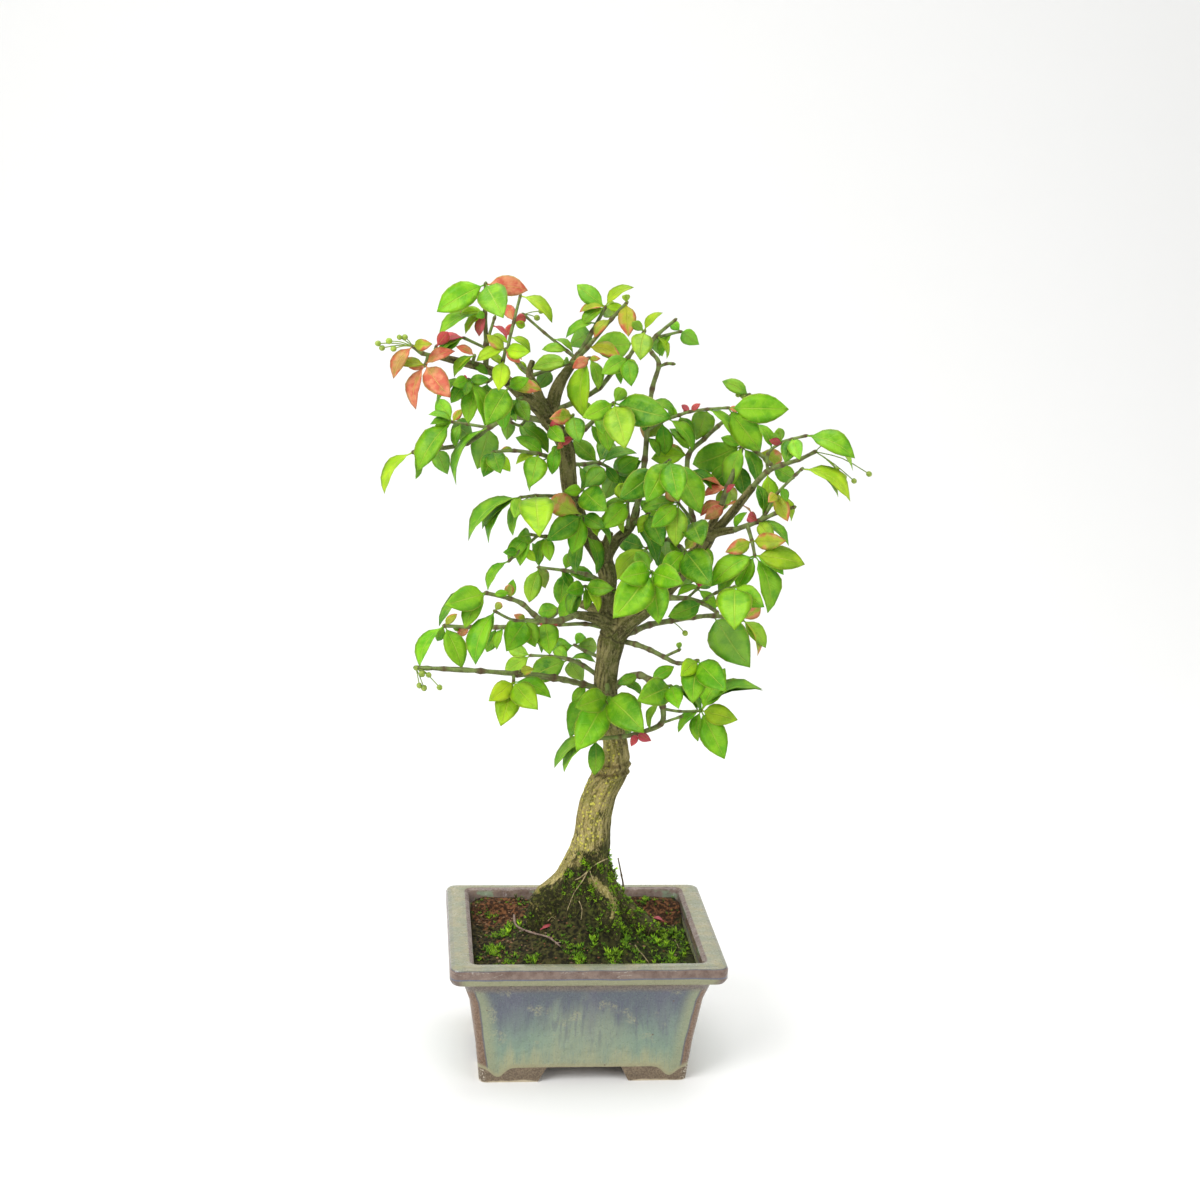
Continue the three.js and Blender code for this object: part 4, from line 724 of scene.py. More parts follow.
class Nodes:
    """A material's or a group's node tree, with short ways to add and join nodes."""

    def __init__(self, tree: bpy.types.NodeTree) -> None:
        """Keeps the tree."""
        self.tree = tree

    def add(self, kind: str, inputs: dict | None = None, **settings: object) -> bpy.types.Node:
        """Adds a node.

        Args:
            kind: Its type, without the ShaderNode that starts it.
            inputs: Socket name or number to a value or a wire.
            settings: Properties of the node.

        Returns:
            The node.
        """
        node = self.tree.nodes.new("ShaderNode" + kind)
        for name, value in settings.items():
            setattr(node, name, value)
        for key, value in (inputs or {}).items():
            self.feed(node.inputs[key], value)
        return node

    def feed(self, socket: bpy.types.NodeSocket, value: object) -> None:
        """Joins a wire to a socket, or sets a number or a colour on it."""
        if isinstance(value, Wire):
            self.tree.links.new(value.socket, socket)
        elif isinstance(value, tuple) and socket.type == "RGBA":
            socket.default_value = (*value, 1.0)
        else:
            socket.default_value = value

    def out(self, kind: str, inputs: dict | None = None, **settings: object) -> Wire:
        """Adds a node and returns its first output."""
        return Wire(self, self.add(kind, inputs, **settings).outputs[0])

    def mix(self, share: object, a: object, b: object, kind: str = "MIX") -> Wire:
        """Mixes two colours.

        Args:
            share: 0 for a and 1 for b.
            a: A linear colour or a wire.
            b: The same.
            kind: The blend type.

        Returns:
            The mixed colour.
        """
        node = self.add("Mix", data_type="RGBA", blend_type=kind)
        for index, value in ((0, share), (6, a), (7, b)):
            self.feed(node.inputs[index], value)
        return Wire(self, node.outputs[2])

    def coats(self, body: object, *coats: tuple[object, object]) -> Wire:
        """Lays coats of colour over one another.

        Args:
            body: The colour beneath.
            coats: Each one's mask and colour.

        Returns:
            The colour on top.
        """
        for mask, colour in coats:
            body = self.mix(mask, body, colour)
        return body

    def noise(self, place: Wire, scale: float, detail: float = 3.0,
              stretch: tuple[float, ...] | None = None) -> Wire:
        """Adds a noise texture.

        Args:
            place: Where it is read.
            scale: Its scale.
            detail: Its detail.
            stretch: Scales of x, y and z before the noise.

        Returns:
            The noise, about 0.3 to 0.7.
        """
        if stretch:
            place = self.out("Mapping", {"Vector": place, "Scale": stretch})
        return self.out("TexNoise", {"Vector": place, "Scale": scale, "Detail": detail})

    def grain(self, place: Wire, scale: float, low: float, high: float) -> Wire:
        """Places the grain that all finishes share.

        Args:
            place: Where it is read.
            scale: Its scale.
            low: The noise that counts as none.
            high: The noise that counts as full.

        Returns:
            A mask.
        """
        sockets = {"Place": place, "Scale": scale, "Low": low, "High": high}
        node = self.add("Group", node_tree=grain_group())
        for key, value in sockets.items():
            self.feed(node.inputs[key], value)
        return Wire(self, node.outputs[0])

    def place(self) -> Wire:
        """Adds the object coordinates."""
        return Wire(self, self.add("TexCoord").outputs["Object"])

    def stored(self, name: str, output: str = "Vector") -> Wire:
        """Adds a reader of one of the mesh's attributes and returns one of its outputs."""
        return Wire(self, self.add("Attribute", attribute_name=name).outputs[output])

    def split(self, vector: Wire) -> list[Wire]:
        """Splits a vector into its x, y and z."""
        return [Wire(self, out) for out in self.add("SeparateXYZ", {0: vector}).outputs]


def grain_group() -> bpy.types.NodeTree:
    """Gives the node group of the shared grain, and makes it the first time."""
    group = bpy.data.node_groups.get("shared_grain")
    if group:
        return group
    group = bpy.data.node_groups.new("shared_grain", "ShaderNodeTree")
    group.interface.new_socket("Place", in_out="INPUT", socket_type="NodeSocketVector")
    for name in ("Scale", "Low", "High"):
        group.interface.new_socket(name, in_out="INPUT", socket_type="NodeSocketFloat")
    group.interface.new_socket("Mask", in_out="OUTPUT", socket_type="NodeSocketFloat")
    nodes = Nodes(group)
    start, end = group.nodes.new("NodeGroupInput"), group.nodes.new("NodeGroupOutput")
    place, scale, low, high = (Wire(nodes, out) for out in start.outputs[:4])
    nodes.feed(end.inputs[0], nodes.noise(place, scale).step(low, high))
    return group


class Finish:
    """A material that is made once, when first asked for."""

    name = "finish"
    made: bpy.types.Material | None = None

    def material(self) -> bpy.types.Material:
        """Returns the material, and makes it the first time."""
        cls = type(self)
        if cls.made is None:
            cls.made = bpy.data.materials.new(self.name)
            cls.made.use_nodes = True
            nodes = Nodes(cls.made.node_tree)
            nodes.tree.nodes.clear()
            sockets = self.dress(nodes)
            height, depth = sockets.pop("height"), sockets.pop("depth")
            bump = nodes.out("Bump", {"Height": height, "Distance": depth, "Strength": 1.0})
            sockets["Normal"] = bump
            shader = nodes.out("BsdfPrincipled", {
                key.replace("_", " "): value for key, value in sockets.items()
            })
            nodes.add("OutputMaterial", {0: shader})
        return cls.made

    def dress(self, nodes: Nodes) -> dict:
        """Gives the shader's sockets, with the bump's height and its depth in metres."""
        raise NotImplementedError


class LeafFinish(Finish):
    """Living leaf: tint by piece, pale ribs, quilted blade, paler underside, red blush."""

    name = "leaf"
    veins_a_side: float = 6.0

    def dress(self, nodes: Nodes) -> dict:
        """Gives the leaf's sockets. Marks are (across, along, 1 underneath)."""
        tint, blush = nodes.stored("tint", "Color"), nodes.stored("tint", "Alpha")
        across, along, under = nodes.split(nodes.stored("marks"))
        place, reach = nodes.place(), abs(across)
        mix = nodes.mix
        rib = reach.step(0.075, 0.012)
        ridge = abs(((along - reach * 0.17) * (self.veins_a_side / 0.9)).fraction() - 0.5)
        vein = ridge.step(0.12, 0.0) * reach.step(0.95, 0.6)
        patch = nodes.noise(place, 120.0)
        fine = nodes.grain(place, 900.0, 0.4, 0.7)
        dark = mix(1.0, tint, (0.66, 0.76, 0.5), "MULTIPLY")
        living = (blush + 1.0).step(0.0, 1.0)
        body = mix(patch.step(0.36, 0.62), dark, mix(living * 0.2, tint, (0.44, 0.6, 0.02)))
        red = mix(nodes.grain(place, 210.0, 0.4, 0.6), (0.5, 0.095, 0.05), (0.6, 0.22, 0.105))
        turned = (patch * 1.6 + along * 0.35 + reach * 0.35 + blush).step(1.44, 1.78)
        pale = mix(0.5, tint, mix(blush.step(0.3, 0.6), (0.56, 0.62, 0.09), (0.8, 0.5, 0.12)))
        tooth = abs((along * 30.0).fraction() - 0.5).step(0.1, 0.4) * 0.4 + 0.3
        body = nodes.coats(
            body,
            (fine * living * 0.1, (0.42, 0.6, 0.08)),
            (turned * blush.step(0.0, 0.3), red),
            (vein * 0.1, pale),
            (rib * 0.65, pale),
            (reach.step(0.88, 1.0) * tooth * living, (0.48, 0.54, 0.06)),
            (under * living * 0.35, (0.24, 0.4, 0.07)),
        )
        return dict(
            Base_Color=body, Roughness=0.48, Specular_IOR_Level=0.26, Subsurface_Weight=0.1,
            Subsurface_Radius=Vector((0.3, 1.0, 0.1)), Subsurface_Scale=0.0012,
            height=fine * 0.2 - vein * 0.5 - rib * 1.4, depth=0.0002,
        )


class TwigFinish(Finish):
    """Twig bark: the piece's tint with dark streaks and brown scars at the nodes."""

    name = "twig_bark"

    def dress(self, nodes: Nodes) -> dict:
        """Gives the twig's sockets. Marks are (round, along in metres, scar)."""
        tint, marks = nodes.stored("tint"), nodes.stored("marks")
        streak = nodes.noise(marks, 1.0, 4.0, (1.6, 160.0, 0.0))
        grit = nodes.grain(nodes.place(), 700.0, 0.5, 0.7)
        body = nodes.coats(
            tint,
            (streak.step(0.42, 0.62), nodes.mix(0.7, tint, (0.075, 0.055, 0.028))),
            (grit * 0.35, (0.33, 0.34, 0.13)),
            (nodes.split(marks)[2] * 0.85, (0.085, 0.04, 0.02)),
        )
        return dict(Base_Color=body, Roughness=0.68, Specular_IOR_Level=0.3,
                    height=streak + grit * 0.2, depth=0.0003)


class BarkFinish(Finish):
    """Trunk bark: tan and olive with fine cracks, lichen dots, moss low down, painted shade above
    and on the right side.
    """

    name = "trunk_bark"

    def dress(self, nodes: Nodes) -> dict:
        """Gives the bark's sockets. The tint is (mossy, shaded, rubbed crest, scar)."""
        marks, place, mix, grain = nodes.stored("marks"), nodes.place(), nodes.mix, nodes.grain
        mossy, shade, crest = nodes.split(nodes.stored("tint"))
        crack = nodes.noise(marks, 0.62, 6.0, (1.0, 1.0, 0.15))
        plate = nodes.noise(marks, 1.5, 4.0, (1.0, 1.0, 0.35))
        grit = grain(place, 900.0, 0.45, 0.7)
        wide = nodes.noise(place, 75.0, 4.0)
        dots = nodes.out("TexVoronoi", {"Vector": place, "Scale": 430.0})
        dot = dots.step(0.4, 0.26) * wide.step(0.4, 0.48) * shade.step(0.9, 0.1)
        rough = (nodes.noise(place, 110.0, 6.0) - 0.5) * 2.6 + (plate - 0.5) * 1.4
        film = (mossy + rough).step(0.22, 0.74)
        green = mix(grain(place, 520.0, 0.5, 0.66), (0.012, 0.014, 0.004), (0.064, 0.08, 0.009))
        green = mix(grain(place, 800.0, 0.6, 0.68) * 0.55, green, (0.2, 0.155, 0.06))
        # Painted shade: darker bark laid over the trunk and limbs under the leaves and on their
        # right side, by the tint's shade value.
        painted_shade_bark = nodes.coats(
            mix(crack.step(0.58, 0.36), (0.165, 0.155, 0.06), (0.036, 0.035, 0.01)),
            (grain(marks, 0.16, 0.44, 0.6), (0.066, 0.076, 0.016)),
            (grit * 0.35, (0.3, 0.26, 0.13)),
        )
        worn = mix(grit, (0.26, 0.22, 0.07), (0.55, 0.47, 0.2))
        body = nodes.coats(
            mix(grain(place, 60.0, 0.35, 0.65), (0.34, 0.265, 0.085), (0.5, 0.41, 0.17)),
            (crack.step(0.52, 0.4), (0.115, 0.092, 0.028)),
            (plate.step(0.46, 0.6) * 0.65, (0.17, 0.155, 0.04)),
            (wide.step(0.46, 0.6) * 0.55, (0.19, 0.185, 0.03)),
            (grit * 0.4, (0.6, 0.51, 0.25)),
            (dot * 0.9, (0.62, 0.57, 0.1)),
            (nodes.stored("tint", "Alpha") * 0.75, (0.12, 0.07, 0.035)),
            (film * 0.95, green),
            (shade * 0.92, painted_shade_bark),
            ((crest + (plate - 0.5) * 1.8).step(0.3, 0.66) * 0.9, worn),
        )
        height = crack.step(0.36, 0.56) * 0.7 + plate * 0.5 + grit * 0.35 + dot * 0.5
        return dict(Base_Color=body, Roughness=0.86, Specular_IOR_Level=0.2,
                    height=height, depth=0.0008)


class GlazeFinish(Finish):
    """Pot glaze: sage rim, brown worn edges, green band, slate to sage body, bare feet."""

    name = "celadon_glaze"

    def dress(self, nodes: Nodes) -> dict:
        """Gives the glaze's sockets.

        The tint is (half x, half y, 1 on the inner wall) and marks are the place, in mm.
        """
        half_x, half_y, inner = nodes.split(nodes.stored("tint"))
        marks, mix, grain = nodes.stored("marks"), nodes.mix, nodes.grain
        x, y, z = nodes.split(marks)
        corner = (half_x - abs(x)).larger(half_y - abs(y))
        wobble = (nodes.noise(marks, 0.05, 4.0) - 0.5) * 6.0
        near, high = corner + wobble * 0.35, z + wobble * 0.22
        fine = grain(marks, 1.1, 0.36, 0.64)
        edge = nodes.coats(
            mix(grain(marks, 0.22, 0.35, 0.65), (0.118, 0.072, 0.055), (0.196, 0.138, 0.108)),
            (fine * 0.4, (0.165, 0.112, 0.088)),
        )
        line = abs(nodes.noise(marks, 0.1, 5.0, (0.5, 0.5, 2.6)) - 0.5).step(0.012, 0.003)
        line = line * grain(marks, 0.05, 0.48, 0.54) * grain(marks, 0.9, 0.4, 0.5)
        wall = nodes.coats(
            edge,
            (grain(marks, 0.06, 0.52, 0.56), (0.19, 0.235, 0.15)),
            (z.step(74.0, 66.0) * 0.7, (0.07, 0.052, 0.036)),
            (z.step(72.6, 74.2), edge),
        )
        side = inner + wobble * 0.008
        top = nodes.coats(
            mix(grain(marks, 0.12, 0.36, 0.64), (0.255, 0.27, 0.17), (0.335, 0.305, 0.175)),
            (fine * 0.3, (0.22, 0.225, 0.19)),
            (side.step(0.03, 0.0) * 0.3, (0.15, 0.155, 0.16)),
            (side.step(0.94, 0.99), (0.2, 0.185, 0.175)),
        )
        streak = nodes.noise(marks, 0.5, 4.0, (1.0, 1.0, 0.03))
        hair = nodes.noise(marks, 1.8, 2.0, (1.0, 1.0, 0.02))
        runs = nodes.noise(marks, 0.11, 3.0, (1.0, 1.0, 0.1))
        level = z + (runs - 0.5) * 40.0 + (streak - 0.5) * 10.0
        drift = x + wobble
        violet = drift.hump(3.0, 4.0) + drift.hump(-40.0, 7.0) + drift.hump(42.0, 6.0)
        blotch = nodes.noise(marks, 0.09, 6.0).step(0.58, 0.68)
        body = nodes.coats(
            mix(level.step(8.0, 24.0), (0.32, 0.33, 0.19), (0.19, 0.27, 0.195)),
            (level.step(22.0, 52.0), (0.085, 0.1, 0.124)),
            (abs(drift).step(34.0, 8.0) * level.step(60.0, 30.0) * 0.55, (0.275, 0.305, 0.2)),
            (hair.step(0.5, 0.64) * 0.35, (0.155, 0.215, 0.19)),
            (streak.step(0.52, 0.68) * z.step(12.0, 40.0) * 0.5, (0.085, 0.092, 0.13)),
            (violet * z.step(16.0, 40.0) * 0.35, (0.105, 0.095, 0.15)),
            (blotch * fine * 0.6, (0.34, 0.33, 0.2)),
            (near.step(14.0, 6.5) * 0.9, mix(fine, (0.225, 0.26, 0.158), (0.26, 0.28, 0.168))),
            (near.step(5.6, 5.0), (0.1, 0.098, 0.108)),
            (near.step(4.9, 4.1), mix(fine, (0.13, 0.072, 0.04), (0.205, 0.128, 0.078))),
            # Partly painted shade: the cove under the rim's lip gets the glaze's brown, darkened
            # for the shadow that the lip casts.
            (high.step(56.0, 60.5), mix(fine, (0.105, 0.08, 0.07), (0.19, 0.155, 0.12))),
            (high.step(63.6, 64.9),
             mix(near.step(3.0, 9.0), (0.13, 0.09, 0.07), (0.235, 0.235, 0.13))),
            (high.step(68.2, 68.6), (0.09, 0.1, 0.145)),
            (high.step(68.9, 69.4), edge),
            (line * high.step(69.0, 70.0) * 0.7, (0.45, 0.42, 0.37)),
            (high.step(73.3, 73.6), (0.09, 0.092, 0.11)),
            (high.step(73.7, 74.0), top),
            (inner.step(0.93, 0.99), wall),
        )
        foot = z + corner.hump(10.5, 5.0) * 5.6 + wobble * 0.3
        bare = foot.step(9.5, 8.9)
        chip = corner.step(4.5, 2.0) * grain(marks, 1.1, 0.54, 0.6)
        clay = nodes.coats(
            mix(fine, (0.12, 0.083, 0.052), (0.215, 0.16, 0.1)),
            ((z + wobble).step(1.4, 0.3) * 0.8, (0.62, 0.53, 0.37)),
            (chip * 0.85, (0.6, 0.56, 0.46)),
        )
        under = nodes.split(Wire(nodes, nodes.add("NewGeometry").outputs["Normal"]))[2]
        speck = nodes.out("TexVoronoi", {"Vector": marks, "Scale": 0.11}).step(0.07, 0.045)
        body = nodes.coats(
            body,
            (foot.step(12.5, 9.8) * 0.9, (0.32, 0.3, 0.17)),
            (bare, clay),
            (under.step(-0.6, -0.8), clay),
            (speck * 0.85, (0.11, 0.07, 0.045)),
        )
        rough = grain(marks, 0.5, 0.3, 0.7) * 0.18 + 0.24 + bare * 0.4
        return dict(Base_Color=body, Roughness=rough, Coat_Weight=0.25, Coat_Roughness=0.12,
                    height=nodes.noise(marks, 0.16) * 3.0 + fine * 0.03, depth=0.0005)


class SoilFinish(Finish):
    """Damp soil: nearly black under the moss film, brown-orange grit where it is bare."""

    name = "mossy_soil"

    def dress(self, nodes: Nodes) -> dict:
        """Gives the soil's sockets. The tint is (bare, green)."""
        bare, green, _ = nodes.split(nodes.stored("tint"))
        place, mix = nodes.place(), nodes.mix
        grain, lump = nodes.noise(place, 460.0, 5.0), nodes.noise(place, 240.0, 5.0)
        film = mix(lump.step(0.42, 0.66), (0.018, 0.026, 0.005), (0.07, 0.11, 0.009))
        peat = mix(grain.step(0.44, 0.64), (0.035, 0.016, 0.007), (0.2, 0.085, 0.034))
        body = nodes.coats(
            mix(grain.step(0.42, 0.62), (0.012, 0.011, 0.005), (0.075, 0.06, 0.022)),
            (green * grain.step(0.36, 0.6), film),
            ((bare + lump - 0.5).step(0.4, 0.62), peat),
        )
        return dict(Base_Color=body, Roughness=0.93, Specular_IOR_Level=0.2,
                    height=grain + lump, depth=0.0014)


class MossFinish(Finish):
    """Moss shoots: the piece's tint with a paler tip."""

    name = "moss"

    def dress(self, nodes: Nodes) -> dict:
        """Gives the moss's sockets. The marks' x is 0 at a shoot's foot and 1 at its tips."""
        tint, tip = nodes.stored("tint"), nodes.split(nodes.stored("marks"))[0]
        grit = nodes.grain(nodes.place(), 800.0, 0.5, 0.7)
        body = nodes.mix(tip.step(0.3, 1.25), nodes.mix(0.85, tint, (0.008, 0.013, 0.002)), tint)
        body = nodes.mix(grit * 0.2, body, (0.3, 0.45, 0.02))
        return dict(Base_Color=body, Roughness=0.6, Specular_IOR_Level=0.3,
                    height=grit * 0.3, depth=0.0002)


class LitterFinish(Finish):
    """Dry litter: the piece's tint with grain and darker blotches."""

    name = "dry_litter"

    def dress(self, nodes: Nodes) -> dict:
        """Gives the litter's sockets."""
        tint = nodes.stored("tint")
        grit = nodes.grain(nodes.place(), 600.0, 0.42, 0.66)
        body = nodes.mix(grit, tint, nodes.mix(0.6, tint, (0.06, 0.035, 0.02)))
        return dict(Base_Color=body, Roughness=0.85, Specular_IOR_Level=0.25,
                    height=grit * 0.3, depth=0.0004)


class BudFinish(Finish):
    """Flower buds and their stalks: pale green with a soft gloss."""

    name = "flower_bud"

    def dress(self, nodes: Nodes) -> dict:
        """Gives the bud's sockets."""
        tint = nodes.stored("tint")
        grit = nodes.grain(nodes.place(), 700.0, 0.4, 0.65)
        body = nodes.mix(grit * 0.5, tint, nodes.mix(0.6, tint, (0.55, 0.6, 0.12)))
        return dict(Base_Color=body, Roughness=0.45, height=grit * 0.3, depth=0.0001)


class MeshFinish(Finish):
    """Black plastic mesh of the drain screens, dulled by lime and soil."""

    name = "screen_plastic"

    def dress(self, nodes: Nodes) -> dict:
        """Gives the plastic's sockets."""
        dirt = nodes.grain(nodes.place(), 300.0, 0.4, 0.65)
        body = nodes.mix(dirt, (0.012, 0.012, 0.012), (0.085, 0.06, 0.04))
        return dict(Base_Color=body, Roughness=dirt * 0.3 + 0.35, height=dirt * 0.3,
                    depth=0.0001)


class Tone(Enum):
    """A leaf's tone: its letter in the rows, linear colour, red blush and material slot."""

    GREEN = ("G", (0.14, 0.405, 0.003), 0.0, "leaf_bright_green")
    DEEP = ("D", (0.055, 0.24, 0.002), 0.0, "leaf_deep_green")
    PALE = ("P", (0.225, 0.455, 0.022), 0.0, "leaf_pale_green")
    YELLOW = ("Y", (0.335, 0.545, 0.005), 0.05, "leaf_yellow_green")
    OLIVE = ("O", (0.35, 0.4, 0.02), 0.32, "leaf_yellow_green")
    SALMON = ("S", (0.59, 0.25, 0.1), 0.62, "leaf_salmon")
    RED = ("R", (0.6, 0.07, 0.1), -1.0, "leaf_red")

    def __init__(self, letter: str, colour: Colour, blush: float, slot: str) -> None:
        """Keeps the four."""
        self.letter, self.colour, self.blush, self.slot = letter, colour, blush, slot

    @classmethod
    def of(cls, letter: str) -> "Tone":
        """Finds a tone by its letter."""
        return next(tone for tone in cls if tone.letter == letter)


class Quarter(Enum):
    """A part of the crown, as its twigs' piece names it."""

    TOP = "top"
    LEFT = "left"
    RIGHT = "right"
    MIDDLE = "middle"


@dataclass(frozen=True)
class Growth:
    """What grows from a node as it looks: a leaf's tip and width, or a bud with no tone."""

    tone: Tone | None
    x: float
    z: float
    width: float = 0.0


@dataclass(frozen=True)
class Stem:
    """A stem's radius, start and nodes, each node with what grows from it."""

    radius: float
    start: list[float]
    nodes: list[tuple[list[float], list[Growth]]]

    def points(self) -> Array:
        """Gives the start and the nodes as points in millimetres."""
        return np.array([seen(self.start), *(seen(at) for at, _ in self.nodes)])


def nearest_on(eye: Array, ray: Array, base: Array) -> Array:
    """Gives the point of a line of sight that is nearest a base."""
    return eye + ray * float((base - eye) @ ray)


@dataclass
class LeafPose:
    """Where one leaf is and how it is turned, by the rule that its solid follows."""

    base: Array
    along: Array
    length: float
    width: float
    sag: float
    across: Array
    normal: Array

    @classmethod
    def of(cls, base: Array, leaf: Growth, attempt: tuple[float, float] = (0, 0)) -> "LeafPose":
        """Turns a leaf's look into a pose.

        Args:
            base: Where the leaf leaves its twig.
            leaf: Its tip and width as seen.
            attempt: How far the tip is moved along the sight, and the roll in degrees.

        Returns:
            The pose.
        """
        sight = unit(np.array([leaf.x, 0.0, leaf.z]) - EYE)
        nearest = nearest_on(EYE, sight, base)
        seen_length = float(np.linalg.norm(nearest - base))
        seen_width = WIDER * leaf.width * (base[1] - EYE[1]) / -EYE[1]
        full = min(max(seen_length, LEAF_RATIO * seen_width), 2 * seen_length + 4)
        depth = math.sqrt(max(full**2 - seen_length**2, 0))
        tip = nearest + sight * ((depth if base[1] > 8 else -depth) + attempt[0])
        length = float(np.linalg.norm(tip - base))
        along = (tip - base) / length
        full_width = full / LEAF_RATIO
        turn = math.acos(min(1, max(seen_width / full_width, LEAST_SHOWN)))
        flat = unit(np.cross(along, sight))
        deep = np.cross(along, flat)
        best = None
        for sign in (1, -1):
            angle = sign * (turn + math.radians(attempt[1]))
            across = flat * math.cos(angle) + deep * math.sin(angle)
            normal = np.cross(across, along)
            lift = normal[2] - FORWARD_LEAN * normal[1]
            if best is None or abs(lift) > best[0]:
                facing = -1 if lift < 0 else 1
                best = (abs(lift), across * facing, normal * facing)
        sag = length * (LEAST_SAG + TURNED_SAG * math.sin(turn))
        return cls(base, along, length, full_width, sag, best[1], best[2])

    def rise(self, t: Array) -> tuple[Array, Array]:
        """Gives the rib's points and the blade's upward directions at shares of the length."""
        t = np.asarray(t, float)[:, None]
        points = self.base + self.along * self.length * t + self.normal * 4 * self.sag * t * (1 - t)
        up = self.normal * self.length - self.along * 4 * self.sag * (1 - 2 * t)
        return points, up / np.linalg.norm(up, axis=1)[:, None]

    def corners(self) -> Array:
        """Gives the tip and the edge corners that the leaf's solid has."""
        blade = TINY_BLADE if self.length < TINY_LENGTH else SMALL_BLADE
        blade = BLADE if self.length >= SMALL_LENGTH else blade
        t, shares = np.array(blade).T
        points, up = self.rise(t)
        half = (shares * self.width / 2)[:, None]
        edges = [points + side * self.across * half + up * FOLD * half for side in (-1, 1)]
        return np.concatenate([*edges, [self.base + self.along * self.length]])


@dataclass
class LeafShape(Shape):
    """The leaf that all leaves are copied from, a flat blade with a stalk and a drawn-out tip.

    It is modelled once as x across from -1 to 1, y along from 0 to 1 and z its thickness.
    """

    across: int = 4
    along: int = 9
    stations: tuple[float, ...] = (0.0, 0.1, 0.155, 0.25, 0.37, 0.5, 0.63, 0.76, 0.88, 1.0)
    outline: tuple[float, ...] = (0.0, 0.08, 0.27, 0.67, 0.91, 1.0, 0.94, 0.74, 0.41, 0.0)
    stalk_end: float = 0.13
    stalk_half: float = 0.42
    thick_half: float = 0.16

    def model(self) -> None:
        """Models the blade as a grid with a thickness that dies out at its edge."""
        select()
        bpy.ops.mesh.primitive_grid_add(
            x_subdivisions=self.across, y_subdivisions=self.along, size=2, location=(0, 0, 0)
        )
        item = bpy.context.object
        work(item, "SOLIDIFY", thickness=2.0, offset=0.0)
        mode("EDIT")
        bpy.ops.mesh.select_all(action="DESELECT")
        mode("OBJECT")
        for vertex in item.data.vertices:
            vertex.select = abs(vertex.co.x) > 0.999 or vertex.co.y > 0.999
        mode("EDIT")
        bpy.ops.transform.resize(value=(1, 1, 0), center_override=(0, 0, 0))
        bpy.ops.mesh.remove_doubles(threshold=0.01)
        bpy.ops.mesh.select_all(action="SELECT")
        bpy.ops.mesh.normals_make_consistent(inside=False)
        mode("OBJECT")
        self.points, self.faces = take_shape(item)
        self.points[:, 1] = (self.points[:, 1] + 1) / 2

    def placed(self, pose: LeafPose, rng: Rng) -> tuple[Array, Array]:
        """Bends the blade to a pose.

        Args:
            pose: The pose.
            rng: Draws the leaf's own ripple and curl.

        Returns:
            Its points in millimetres and their marks: across, along and 1 underneath.
        """
        u, v, layer = self.points.T
        row = np.clip(np.rint(v * self.along), 0, self.along).astype(int)
        t, reach = np.array(self.stations)[row], np.abs(u)
        blade = t >= self.stalk_end
        width = np.array(self.outline)[row] * pose.width / 2
        half = np.where(blade, np.maximum(width, 0.02), self.stalk_half)
        points, up = pose.rise(t)
        wave = rng.uniform(0.5, 1.0) * 0.045 * pose.width
        phase, turns = rng.uniform(0, 6.28), rng.uniform(1.6, 2.6)
        ripple = wave * reach**1.5 * np.sin(turns * 6.28 * t + phase + (u > 0) * 2.1)
        ripple = ripple * np.clip((t - 0.15) / 0.2, 0, 1) * np.clip((1 - t) / 0.2, 0, 1)
        cup = FOLD * half * reach**1.35 * blade
        thick = self.thick_half * np.where(blade, 1.0, 1.9) * (1.0 + 0.5 * (reach < 0.1))
        hook = rng.normal(0, 0.05) * pose.width * np.clip((t - 0.5) / 0.5, 0, 1) ** 2
        points = points + pose.across * (half * u + hook)[:, None]
        points = points + up * (cup + ripple + layer * thick)[:, None]
        return points, np.stack([u, t, layer < -0.5], 1)


